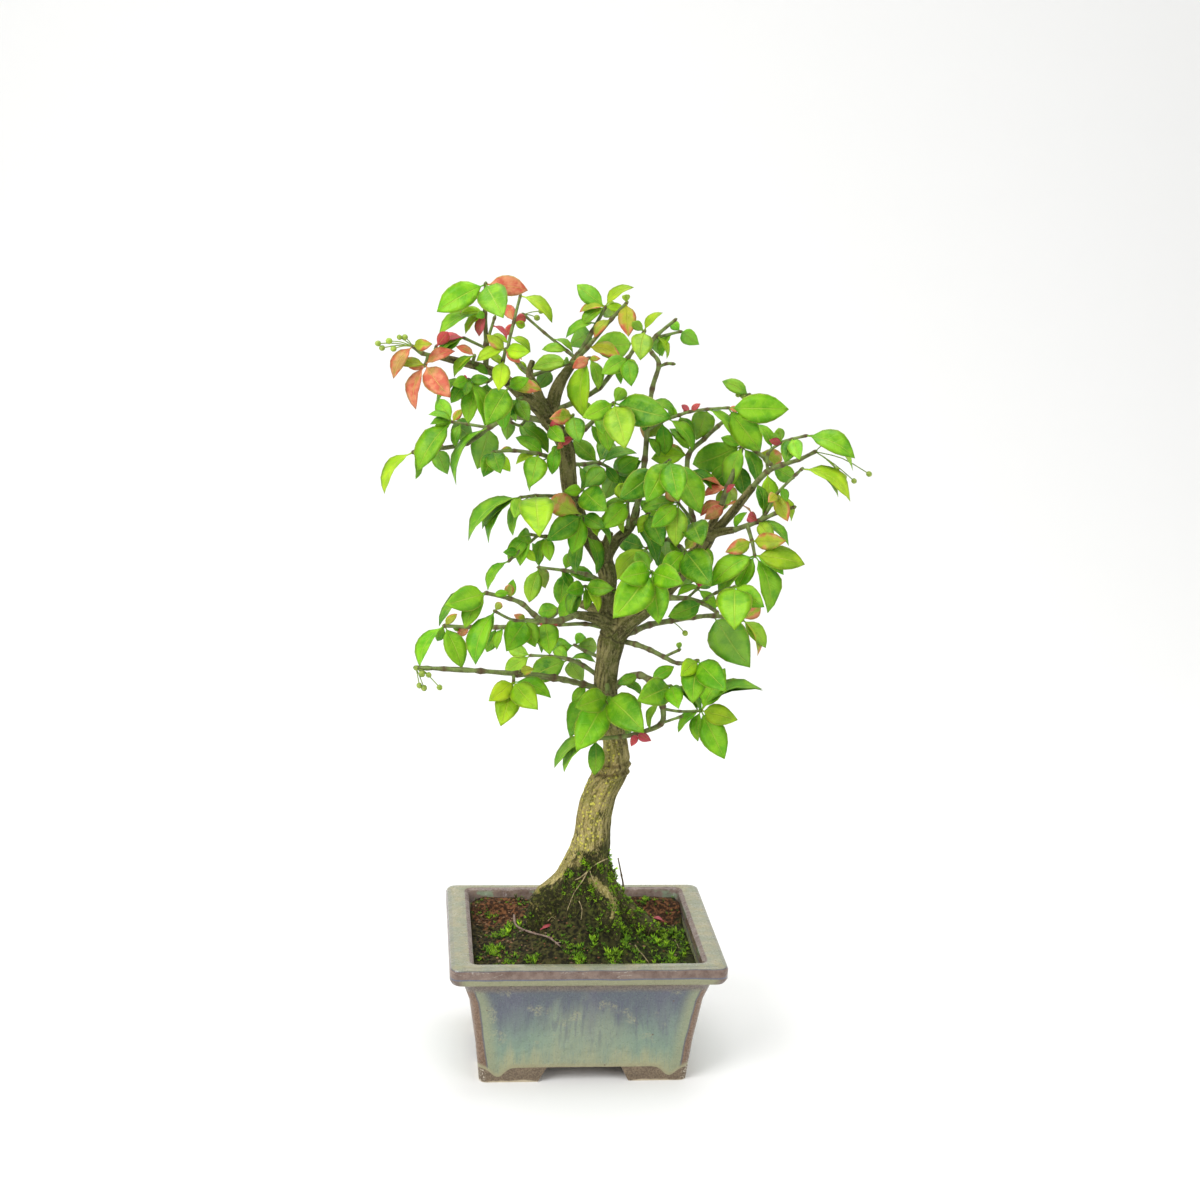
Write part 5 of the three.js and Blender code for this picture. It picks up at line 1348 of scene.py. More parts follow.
@dataclass
class Spray:
    """One leafy twig: its stems, its leaves and its flower buds."""

    name: str
    seed: int
    stems: list[Stem] = field(default_factory=list)
    taper: float = 0.42
    least_radius: float = 0.85
    node_swell: float = 0.25
    swell_reach: float = 1.5
    scar_reach: float = 0.75
    wobble: float = 0.035
    terminal: float = 1.5
    young: Colour = (0.155, 0.24, 0.05)
    old: Colour = (0.165, 0.175, 0.065)
    bud_tint: Colour = (0.2, 0.31, 0.02)

    def add_stem(self, line: str) -> None:
        """Reads one of its rows, such as "1.4 -85,392,-25|-94,393,-28 S-109,380,7"."""
        first, *rest = line.split("|")
        radius, start = first.split()
        nodes = []
        for words in (part.split() for part in rest):
            growths = [
                Growth(None if word[0] == "*" else Tone.of(word[0]), *numbers(word[1:]))
                for word in words[1:]
            ]
            nodes.append((numbers(words[0]), growths))
        self.stems.append(Stem(float(radius), numbers(start), nodes))

    def quarter(self) -> Quarter:
        """Tells which part of the crown it is in."""
        x, z, _ = self.stems[0].start
        if z > 335:
            return Quarter.TOP
        return Quarter.LEFT if x < -12 else Quarter.RIGHT if x > 30 else Quarter.MIDDLE

    def growths(self, buds: bool) -> Iterator[tuple[Array, Growth]]:
        """Gives each leaf, or each bud, with the point that it grows from."""
        for stem in self.stems:
            for at, growths in stem.nodes:
                base = seen(at)
                yield from ((base, g) for g in growths if (g.tone is None) == buds)

    def leaves(self, shape: LeafShape) -> tuple[Build, Tone]:
        """Lays every leaf in the pose that its solid has.

        Args:
            shape: The leaf that all are copied from.

        Returns:
            The gathered leaves, and the tone that covers most.
        """
        corners = FRAME.node_points("spray_" + self.name)
        tree = KDTree(len(corners))
        for i, point in enumerate(corners):
            tree.insert(point, i)
        tree.balance()
        rng = np.random.default_rng(self.seed)
        build, areas = Build(), {}
        for base, leaf in self.growths(buds=False):
            found = max(
                (LeafPose.of(base, leaf, attempt) for attempt in TRIES),
                key=lambda pose: sum(tree.find(p)[2] < 0.06 for p in pose.corners()),
            )
            points, marks = shape.placed(found, rng)
            tint = np.array(leaf.tone.colour) * np.exp(rng.normal(0, 0.1))
            tint[0] *= np.exp(rng.normal(0, 0.1))
            build.add(points, shape.faces, tint, marks, leaf.tone.blush * rng.uniform(0.7, 1.3))
            areas[leaf.tone] = areas.get(leaf.tone, 0) + found.length * found.width
        return build, max(areas, key=areas.get, default=Tone.GREEN)

    def twigs(self, build: Build) -> None:
        """Adds the stems, with swollen nodes, scars and end buds.

        Args:
            build: Where they are gathered.
        """
        rng = np.random.default_rng(self.seed + 500)
        steps = 6
        for stem in self.stems:
            points = stem.points()
            count = len(points)
            thinner = 1 - self.taper * np.arange(count) / (count - 1)
            radii = np.maximum(stem.radius * thinner, self.least_radius)
            path = smooth_path(points, steps)
            sizes = smooth_path(radii[:, None], steps)[:, 0]
            tail = unit(path[-1] - path[-2])
            path = np.vstack([path, path[-1] + tail * 0.9, path[-1] + tail * self.terminal])
            sizes = np.append(sizes, [sizes[-1] * 0.8, 0.18])
            travel = np.append(0, np.cumsum(np.linalg.norm(np.diff(path, axis=0), axis=1)))
            knots = travel[steps:count * steps:steps]
            near = np.abs(travel[:, None] - knots[None]).min(1) if len(knots) else travel + 9
            scar = np.exp(-((near / self.scar_reach) ** 2))
            swell = self.node_swell * np.exp(-((near / self.swell_reach) ** 2))
            sizes = sizes * (0.92 + swell * (sizes > 0.3))
            sizes[0] *= 1.15
            wavy = 1 + rng.normal(0, self.wobble, len(path))
            winged = self.name == "winged_branch" and stem is self.stems[0]
            shape, sides = (self.wings(rng), 12) if winged else (None, 7)
            share = np.repeat(np.clip((sizes - 0.8) / 1.4, 0, 1), sides)[:, None]
            tint = np.array(self.young) * (1 - share) + np.array(self.old) * share
            round_ = np.tile(np.arange(sides) / sides, len(path))
            marks = np.stack([round_, np.repeat(travel, sides) * MM, np.repeat(scar, sides)], 1)
            build.tube(path, sizes * wavy, sides, tint, marks, shape)

    @staticmethod
    def wings(rng: Rng) -> Callable[[Array, int], Array]:
        """Gives the outline of a stem with four broken corky wings, for Build.tube."""
        breaks = rng.uniform(0.35, 1.0, 400)
        return lambda angles, row: (
            0.72 + 0.6 * np.abs(np.cos(2 * (angles - 0.3))) ** 4 * breaks[row]
        )

    def seen_buds(self) -> list[tuple[Array, Array]]:
        """Gives where each bud's stalk starts and where the bud is."""
        return [
            (base, nearest_on(EYE, unit(np.array([bud.x, 0.0, bud.z]) - EYE), base))
            for base, bud in self.growths(buds=True)
        ]

    def buds(self, build: Build) -> None:
        """Adds its flower buds with their stalks."""
        rng = np.random.default_rng(self.seed + 900)
        for base, bud in self.seen_buds():
            self.one_bud(build, base, bud, rng)

    def one_bud(self, build: Build, base: Array, bud: Array, rng: Rng) -> None:
        """Adds one bud.

        Args:
            build: Where it is gathered.
            base: Where its stalk leaves the twig.
            bud: The bud's middle.
            rng: Draws its size and the stalk's bow.
        """
        radius = rng.uniform(1.35, 1.75)
        bow = np.array([0, 0, 1.0]) * np.linalg.norm(bud - base) * rng.uniform(0.03, 0.1)
        path = smooth_path(np.array([base, (base + bud) / 2 + bow, bud]), 3)
        tint = np.array(self.bud_tint) * np.exp(rng.normal(0, 0.12))
        build.tube(path, np.full(len(path), 0.3), 5, tint * np.array([0.62, 0.72, 0.8]))
        levels = np.array([-1.0, -0.72, -0.15, 0.45, 0.85, 1.02])
        shares = np.array([0.25, 0.78, 1.0, 0.9, 0.52, 0.12])
        build.tube(
            bud + unit(bud - path[-2]) * (levels * radius)[:, None], shares * radius, 8, tint,
            shape=lambda angles, row: 1 + 0.06 * np.cos(4 * angles),
        )


@dataclass
class Crown:
    """All leafy twigs."""

    shape: LeafShape = field(default_factory=LeafShape)
    sprays: list[Spray] = field(default_factory=list)
    picture_scale: float = 0.5
    extra_buds: str = (
        "389,341 394,347 405,337 540,313 537,319 743,396 833,435 844,438 870,473 837,469 "
        "844,477 855,480 684,632 416,668 422,674 427,676 419,683 424,688 439,687 381,343 "
        "382,348 399,338"
    )

    def read(self) -> None:
        """Reads the rows of SPRAYS."""
        for line in lines_of(SPRAYS):
            if "|" in line:
                self.sprays[-1].add_stem(line)
            else:
                self.sprays.append(Spray(line, 11 + len(self.sprays)))

    def build(self) -> None:
        """Makes the leaves of each spray, the twigs by quarter of the crown, and the buds."""
        self.read()
        self.shape.model()
        twigs, buds = {quarter: Build() for quarter in Quarter}, Build()
        for spray in self.sprays:
            node = "spray_" + spray.name
            leaves, tone = spray.leaves(self.shape)
            if leaves.count:
                leaves.piece("leaves_" + spray.name, LeafFinish(), tone.slot, [node])
            spray.twigs(twigs[spray.quarter()])
            spray.buds(buds)
        self.fill()
        self.add_seen_buds(buds)
        for quarter, build in twigs.items():
            nodes = ["spray_" + s.name for s in self.sprays if s.quarter() is quarter]
            build.piece("twigs_" + quarter.value, TwigFinish(), "bark", nodes)
        buds.piece("flower_buds", BudFinish(), "leaf_pale_green")

    def fill(self) -> None:
        """Adds the small leaves between the sprays, each on the twig nearest its foot."""
        places = np.concatenate([
            smooth_path(stem.points(), 6) for spray in self.sprays for stem in spray.stems
        ])
        build, rng = Build(), np.random.default_rng(31)
        for word in FILL_LEAVES.split():
            tone = Tone.of(word[0])
            foot_x, foot_y, tip_x, tip_y, width = numbers(word[1:])
            base = places[int(np.argmin(PHOTO.misses(foot_x, foot_y, places)))]
            ray = PHOTO.ray(tip_x, tip_y)
            tip = PHOTO.eye - ray * PHOTO.eye[1] / ray[1]
            leaf = Growth(tone, tip[0], tip[2], width * self.picture_scale)
            points, marks = self.shape.placed(LeafPose.of(base, leaf), rng)
            colour = np.array(tone.colour) * np.exp(rng.normal(0, 0.1))
            build.add(points, self.shape.faces, colour, marks, tone.blush)
        build.piece("leaves_between", LeafFinish(), "leaf_deep_green")

    def add_seen_buds(self, buds: Build) -> None:
        """Adds the small flower buds that the sprays' rows don't hold.

        Args:
            buds: Where the buds are gathered.
        """
        rng = np.random.default_rng(77)
        nodes = np.concatenate([stem.points()[1:] for s in self.sprays for stem in s.stems])
        made = np.array([bud for s in self.sprays for _, bud in s.seen_buds()])
        for px, py in rows_of(self.extra_buds):
            if PHOTO.misses(px, py, made).min() >= 2.0:
                base = nodes[int(np.argmin(PHOTO.misses(px, py, nodes)))]
                bud = nearest_on(PHOTO.eye, PHOTO.ray(px, py), base)
                self.sprays[0].one_bud(buds, base, bud, rng)


@dataclass
class Trunk:
    """The trunk, its root flare and its main limbs, grown together in one skin."""

    sides: int = 48
    limb_sides: int = 16
    voxel: float = 0.78
    crack_depth: float = 0.75
    moss_edge: str = (
        "480,912 515,898 530,890 549,880 562,870 572,860 584,852 596,846 606,838 611,822 "
        "640,806"
    )
    moss_fade: float = 22.0
    shade_from: float = 184.0
    shade_fade: float = 12.0
    scar_top: float = 260.0
    scar_tilt: float = 0.12
    moss_top: float = 118.0
    scars: Rows = ((164.5, 0.9), (169.0, 0.8), (246.0, 0.6))
    pale_crests: str = (
        "4.2,592,880,602,888,613,897,614,906 1.8,614,906,612,918 "
        "3.2,534,888,547,880,558,874,567,861,573,846 3,598,848,600,853"
    )

    def trunk_skin(self, build: Build) -> None:
        """Adds the trunk's own skin."""
        degrees = np.arange(self.sides) / self.sides * 360
        turned = np.radians(degrees)
        rings = []
        for x, z, y, radius in smooth_path(np.array(TRUNK), 6):
            lean = np.sin(turned * 5 + z * 0.05) * 0.35 + np.sin(turned * 3 - z * 0.03) * 0.3
            reach = radius + lean * (z > 60)
            for heading, spread, reaches in ROOTS:
                off = (degrees - heading + 180) % 360 - 180
                bulge = np.interp(z, ROOT_LEVELS, reaches) * np.exp(-((off / spread) ** 2))
                reach = reach + bulge * (z < ROOT_LEVELS[-1] + 6)
            rings.append(np.stack([
                x + reach * np.cos(turned), y + reach * np.sin(turned), np.full(self.sides, z)
            ], 1))
        build.add(np.concatenate(rings), ring_faces(len(rings), self.sides))

    def skeleton(self) -> list[Array]:
        """Gives each limb's smooth run of points with radii, the trunk's first."""
        limbs = [rows_of(line.split(" ", 1)[1]) for line in lines_of(LIMBS)]
        return [
            smooth_path(np.array([[*seen(row[:3]), row[3]] for row in rows]), 8)
            for rows in (TRUNK, *limbs)
        ]

    def build(self) -> None:
        """Joins the limbs, gives them one skin and works the bark into it."""
        build = Build()
        self.trunk_skin(build)
        for run in self.skeleton()[1:]:
            build.tube(run[:, :3], run[:, 3] + 0.12, self.limb_sides)
        item = build.object("trunk_and_limbs")
        work(item, "REMESH", mode="VOXEL", voxel_size=self.voxel * MM, use_smooth_shade=True)
        work(item, "SMOOTH", factor=0.5, iterations=3)
        self.work_bark(item)
        finish_piece(item, BarkFinish(), "bark", ["trunk"])

    def along_limbs(self, points: Array) -> Array:
        """Tells where points are on their limb.

        Args:
            points: Rows of x, y, z.

        Returns:
            Rows of two places across the limb and one along it, apart for each limb.
        """
        runs = self.skeleton()
        tree, owners = KDTree(sum(len(run) for run in runs)), []
        for index, run in enumerate(runs):
            steps = np.linalg.norm(np.diff(run[:, :3], axis=0), axis=1)
            for j, travel in enumerate(np.append(0, np.cumsum(steps))):
                tree.insert(run[j, :3], len(owners))
                owners.append((index, j, travel))
        tree.balance()
        places = np.zeros((len(points), 3))
        for i, point in enumerate(points):
            index, j, travel = owners[tree.find(point)[1]]
            path, radius = runs[index][:, :3], runs[index][j, 3]
            along, across, up = axes_at(path, j)
            off = point - path[j]
            angle = math.atan2(float(off @ up), float(off @ across))
            place = travel + float(off @ along) + index * 70.0
            places[i] = (math.cos(angle) * radius, math.sin(angle) * radius, place)
        return places

    def relief(self, place: Array) -> float:
        """Tells how far cracks and lumps push the skin out at a place on its limb."""
        a, b, s = place
        deep = min(math.hypot(a, b) / 10.0, 1.2)
        crack = noise.noise(Vector((a * 0.55, b * 0.55, s * 0.1))) * 0.6
        crack += noise.noise(Vector((a * 1.1, b * 1.1, s * 0.22 + 9))) * 0.6
        lump = noise.noise(Vector((a * 0.2, b * 0.2, s * 0.09 + 40)))
        return deep * (-self.crack_depth * max(crack, -0.25) + 0.7 * lump)

    def ring_scars(self, x: Array, z: Array, above: float, reach: float) -> Array:
        """Gives the strength of the tilted ring scars, or of what is so far above them."""
        return sum(
            size * np.exp(-(((z - (height + (x - 13) * self.scar_tilt) - above) / reach) ** 2))
            for height, size in self.scars
        )

    def work_bark(self, item: Item) -> None:
        """Presses cracks, rings and lumps into the skin and stores what the finish reads.

        Args:
            item: The joined skin.
        """
        mesh = item.data
        points = corner_values(mesh) / MM - FRAME.shift
        normals = corner_values(mesh, "normal")
        places = self.along_limbs(points)
        x, _, z = points.T
        push = np.array([self.relief(place) for place in places])
        push += self.ring_scars(x, z, 0.0, 0.9) * (places[:, 2] < self.scar_top)
        push -= 0.5 * self.ring_scars(x, z, 2.0, 0.8)
        points = points + normals * push[:, None]
        mesh.vertices.foreach_set("co", FRAME.metres(points).ravel())
        flat = PHOTO.pictured(points)
        across, down = zip(*rows_of(self.moss_edge))
        below = flat[:, 1] - np.interp(flat[:, 0], across, down)
        mossy = np.clip(0.5 + below / self.moss_fade, 0, 1)
        right = normals[:, 0]
        shade = np.clip((z - self.shade_from) / self.shade_fade, 0, 1)
        shade = shade * (1.0 - 0.4 * np.clip(-right, 0, 1))
        shade = np.maximum(shade, 0.62 * np.clip(right * 1.5 - 0.15, 0, 1))
        scar = self.ring_scars(points[:, 0], z, 1.6, 0.9) * (points[:, 2] < self.scar_top)
        crest = self.crests(points, flat, normals)
        write_values(mesh, np.stack([mossy, shade, crest, scar], 1), places)
        mesh.update()

    def crests(self, points: Array, flat: Array, normals: Array) -> Array:
        """Tells where the moss is rubbed off the crests of the roots.

        Args:
            points: The skin's points.
            flat: Where they are in the picture.
            normals: Their directions.

        Returns:
            1 on a crest, down to 0 away from it.
        """
        nearest = np.full(len(points), 99.0)
        for half, *flat_line in rows_of(self.pale_crests):
            line = np.reshape(flat_line, (-1, 2))
            for a, b in zip(line, line[1:]):
                off = flat - a
                share = np.clip(off @ (b - a) / ((b - a) @ (b - a)), 0, 1)
                away = np.linalg.norm(off - share[:, None] * (b - a), axis=1) / half
                nearest = np.minimum(nearest, away)
        front = ((PHOTO.eye - points) * normals).sum(1) > 0
        return np.exp(-(nearest**2)) * front * (points[:, 2] < self.moss_top)


@dataclass
class Pot:
    """The glazed pot, worked up from a plate through its levels, hollowed and cut for its feet."""

    corner: float = 4.0
    floor: float = 14.0
    foot: float = 9.0
    hollow: tuple[float, float] = (49.0, 34.0)
    front_span: tuple[float, float] = (20.5, 25.0)
    side_span: tuple[float, float] = (14.0, 17.0)
    drain_x: float = 27.0
    drain_r: float = 7.0

    def build(self) -> None:
        """Models the pot, bevels its edges and dresses it."""
        item = self.body()
        self.cut_feet(item)
        self.cut_drains(item)
        work(item, "BEVEL", width=0.7, segments=3, limit_method="ANGLE",
             angle_limit=math.radians(42))
        bpy.ops.object.shade_smooth_by_angle(angle=math.radians(40))
        self.store_values(item)
        finish_piece(item, GlazeFinish(), "celadon_glaze", ["pot"])

    def body(self) -> Item:
        """Extrudes a plate with rounded corners up the outside, over the rim and down inside.

        Returns:
            The closed body, with a solid floor.
        """
        outer = [(POT_HALF[0] - inset, POT_HALF[1] - inset, z) for inset, z in OUTER_PROFILE]
        (half_x, half_y, z), *levels = [*outer, *INNER_PROFILE]
        select()
        bpy.ops.mesh.primitive_plane_add(size=2, location=(0, 0, 0))
        item = bpy.context.object
        item.name = item.data.name = "pot_body"
        mode("EDIT")
        bpy.ops.transform.resize(value=(half_x, half_y, 1))
        bpy.ops.mesh.bevel(offset=self.corner, offset_type="OFFSET", segments=5, affect="VERTICES")
        bpy.ops.mesh.flip_normals()
        for wide, deep, high in levels:
            bpy.ops.mesh.extrude_region_move(TRANSFORM_OT_translate={"value": (0, 0, high - z)})
            bpy.ops.transform.resize(
                value=(wide / half_x, deep / half_y, 1), center_override=(0, 0, 0)
            )
            half_x, half_y, z = wide, deep, high
        bpy.ops.mesh.select_all(action="SELECT")
        bpy.ops.mesh.normals_make_consistent(inside=False)
        mode("OBJECT")
        return item

    def cutter(self, low: tuple[float, ...], high: tuple[float, ...]) -> Item:
        """Adds a box to cut with.

        Args:
            low: Its lowest corner in millimetres.
            high: Its highest corner.

        Returns:
            The box.
        """
        select()
        bpy.ops.mesh.primitive_cube_add(size=1, location=(0, 0, 0))
        mode("EDIT")
        bpy.ops.transform.resize(value=[b - a for a, b in zip(low, high)])
        bpy.ops.transform.translate(value=[(a + b) / 2 for a, b in zip(low, high)])
        mode("OBJECT")
        return bpy.context.object

    def cut(self, item: Item, tool: Item) -> None:
        """Cuts a tool out of the pot and removes the tool."""
        work(item, "BOOLEAN", operation="DIFFERENCE", object=tool, solver="EXACT")
        bpy.data.objects.remove(tool)

    def cut_feet(self, item: Item) -> None:
        """Cuts the hollow under the floor and the gaps between the feet, narrower at the top."""
        x, y = self.hollow
        self.cut(item, self.cutter((-x, -y, -1), (x, y, self.foot)))
        for axis, (top, low) in enumerate((self.front_span, self.side_span)):
            half_x, half_y = ((20, 70), (80, 15))[axis]
            tool = self.cutter((-half_x, -half_y, -1), (half_x, half_y, self.foot))
            for vertex in tool.data.vertices:
                half = low - (low - top) / self.foot * vertex.co.z
                vertex.co[axis] = half if vertex.co[axis] > 0 else -half
            self.cut(item, tool)

    def cut_drains(self, item: Item) -> None:
        """Drills the two drain holes."""
        for x in (-self.drain_x, self.drain_x):
            select()
            bpy.ops.mesh.primitive_cylinder_add(
                vertices=40, radius=self.drain_r, depth=12, location=(0, 0, 0)
            )
            mode("EDIT")
            bpy.ops.transform.translate(value=(x, 0, self.floor - 3))
            mode("OBJECT")
            self.cut(item, bpy.context.object)

    def store_values(self, item: Item) -> None:
        """Stores places and half sizes for the glaze, and turns millimetres into metres."""
        mesh = item.data
        points = corner_values(mesh)
        x, y, z = points.T
        insets, heights = zip(*OUTER_PROFILE)
        inset = np.interp(z, heights, insets)
        half_x, half_y = POT_HALF[0] - inset, POT_HALF[1] - inset
        edge = np.minimum((half_x - np.abs(x)) / 8.3, (half_y - np.abs(y)) / 3.7)
        inner = np.clip(edge, 0, 1) * (z > self.floor - 1)
        inner = np.where((z < 74.9) & (inner < 0.6), 0.0, inner)
        write_values(mesh, np.stack([half_x, half_y, inner], 1), points)
        mesh.vertices.foreach_set("co", FRAME.metres(points).ravel())
        mesh.update()


def humps(x: Array, y: Array, spots: Iterable[tuple[float, ...]]) -> Array:
    """Adds up soft humps at places, each with its x and y, its reach in x and y and its height."""
    return sum(
        much * np.exp(-(((x - left) / wide) ** 2 + ((y - front) / deep) ** 2))
        for left, front, wide, deep, much in spots
    )


@dataclass
class Soil:
    """The soil in the pot: level at the wall, mounded round the trunk, lumpy on top."""

    edge_z: float = 65.6
    mound: float = 15.0
    reach: float = 52.0
    bank: float = 40.0
    bank_reach: float = 54.0
    bank_heading: float = -65.0
    bank_half_turn: float = 112.0
    bank_top: float = 10.0
    bank_fall: float = 14.5
    heap: float = 5.6
    heap_from: tuple[float, float] = (8.0, 20.0)
    spokes: int = 168
    rings: int = 46
    gap: float = 0.12
    rough_half: tuple[float, float] = (61.0, 48.0)
    squareness: float = 14.0
    levels: tuple[float, ...] = (14.4, 20.0, 39.0, 52.0, 61.0)
    bare_spots: str = (
        "-46,34,22,26,0.9 46,34,20,20,1 -44,-4,9,6,0.4 -38,-40,14,8,0.45 44,-41,10,6,0.5"
    )

    def height(self, x: Array, y: Array) -> Array:
        """Gives the soil's height without its lumps: mound, bank over the roots and back heaps.

        Args:
            x: Millimetres from the pot's middle.
            y: Millimetres from the pot's middle.

        Returns:
            Heights in millimetres.
        """
        x, y = np.asarray(x, float), np.asarray(y, float)
        distance = np.hypot(x - TRUNK[0][0], y)
        away = np.clip(distance / self.reach, 0, 1)
        level = self.edge_z + self.mound * (1 - away**2) ** 1.5
        turn = np.degrees(np.arctan2(y, x - TRUNK[0][0]))
        off = (turn - self.bank_heading + 180) % 360 - 180
        side = np.clip((self.bank_half_turn - np.abs(off)) / 34, 0, 1)
        past = np.clip(distance - self.bank_top, 0, None)
        bank = self.bank * np.exp(-((past / self.bank_fall) ** 1.15))
        bank = bank * np.clip((self.bank_reach - distance) / 12, 0, 1)
        from_x, from_y = self.heap_from
        corner = np.clip((y - from_y) / 16, 0, 1) * np.clip((np.abs(x) - from_x) / 26, 0.25, 1)
        level = level + self.heap * corner
        return np.maximum(level, self.edge_z + bank * side * side * (3 - 2 * side))

    def surface(self, x: Array, y: Array) -> Array:
        """Gives the soil's height with its lumps, which die out at the wall."""
        x, y = np.atleast_1d(x).astype(float), np.atleast_1d(y).astype(float)
        rough = lumps(x, y, (0.085, 3, 1.95), (0.24, 8, 1.05), (0.6, 5, 0.525))
        rough = rough * (1.0 + np.clip((y - 10) / 20, 0, 1) * 0.7)
        half_x, half_y = self.rough_half
        near = np.minimum(half_x - np.abs(x), half_y - np.abs(y))
        return self.height(x, y) + rough * np.clip(near / 5.0 + 0.35, 0.0, 1)

    def outline(self, z: float) -> Array:
        """Gives a rounded rectangle of points just inside the pot's wall.

        Args:
            z: The height that sets the wall's half sizes.

        Returns:
            Rows of x and y, anticlockwise.
        """
        wall = np.array(INNER_PROFILE)[::-1]
        half_x, half_y = (np.interp(z, wall[:, 2], wall[:, i]) - self.gap for i in (0, 1))
        turn = np.arange(self.spokes) / self.spokes * 2 * math.pi
        cos, sin, power = np.cos(turn), np.sin(turn), self.squareness
        reach = (np.abs(cos / half_x) ** power + np.abs(sin / half_y) ** power) ** (-1 / power)
        return np.stack([reach * cos, reach * sin], 1)

    def build(self) -> None:
        """Makes the soil as one closed form."""
        rings = [np.insert(self.outline(z), 2, z, axis=1) for z in self.levels]
        edge = self.outline(self.edge_z)
        for share in np.linspace(1, 0.02, self.rings):
            x, y = (edge * share).T
            rings.append(np.column_stack([x, y, self.surface(x, y)]))
        points = np.concatenate(rings)
        x, y, _ = points.T
        green = np.clip(0.4 + (x + 6) / 90, 0.1, 0.8)
        tint = np.stack([humps(x, y, rows_of(self.bare_spots)), green, np.zeros(len(x))], 1)
        build = Build()
        build.add(points, ring_faces(len(rings), self.spokes), tint, points)
        build.piece("soil_in_pot", SoilFinish(), "mossy_soil", ["soil"])


@dataclass
class MossShoot(Shape):
    """The moss shoot that all are copied from: a short stem with pointed leaves spread round."""

    leaves: int = 4
    lean: float = 0.28
    tall_share: float = 0.14

    def model(self) -> None:
        """Models a cone and draws every other corner of its upper ring out into a leaf."""
        select()
        bpy.ops.mesh.primitive_cone_add(
            vertices=self.leaves * 2, radius1=0.1, radius2=0.55, depth=1.0, location=(0, 0, 0.5),
            end_fill_type="TRIFAN",
        )
        self.points, self.faces = take_shape(bpy.context.object)
        x, y, z = self.points.T
        z += 0.5
        sharp = np.round(np.arctan2(y, x) / math.pi * self.leaves) % 2 == 0
        ring = np.hypot(x, y) > 0.3
        z[~ring & (z > 0.9)] = 0.8
        z[ring] = np.where(sharp, 1.35, 0.5)[ring]
        self.points[ring, :2] *= np.where(sharp, 1.35, 0.4)[ring, None]

    def plant(self, build: Build, foot: Array, up: Array, scale: float, tint: Array,
              rng: Rng) -> None:
        """Plants one shoot.

        Args:
            build: Where it is gathered.
            foot: Its foot.
            up: Its direction.
            scale: Its size in millimetres.
            tint: Its colour.
            rng: Draws its turn, its lean and its height.
        """
        tip = unit(up + rng.normal(0, self.lean, 3))
        size = scale * rng.uniform(0.75, 1.25, 2)
        if rng.uniform() < self.tall_share:
            size, tint = size * (1.0, 1.9), tint * 1.45
        spin = rng.uniform(0, 6.28)
        across = unit(np.cross(tip, [0.3, 0.9, 0.1]))
        side = across * math.cos(spin) + np.cross(tip, across) * math.sin(spin)
        matrix = np.stack([side * size[0], np.cross(tip, side) * size[0], tip * size[1]])
        points = self.points @ matrix + foot - up * 0.3 * scale
        build.add(points, self.faces, tint, self.points[:, 2:] * (1, 0, 0))


# Thin roots and sticks: T for tan or B for brown, radius, and their run in points of the picture.
STICK_TINTS = {"T": (0.42, 0.34, 0.18), "B": (0.13, 0.08, 0.05)}
ROOTLETS = """
T0.42,609,858,600,862,592,867,588,871 T0.42,588,871,581,877,575,880
T0.4,587,872,583,880,576,890,574,893 T0.34,574,893,570,903,567,911 T0.32,579,901,582,909,581,920
T0.36,590,871,592,877,594,881 T0.4,635,945,639,951,643,955,649,963 B0.36,652,924,649,932,646,941
T0.34,675,940,677,944,679,948 T0.3,548,921,552,917,555,919 B0.36,477,914,483,919,490,920
"""


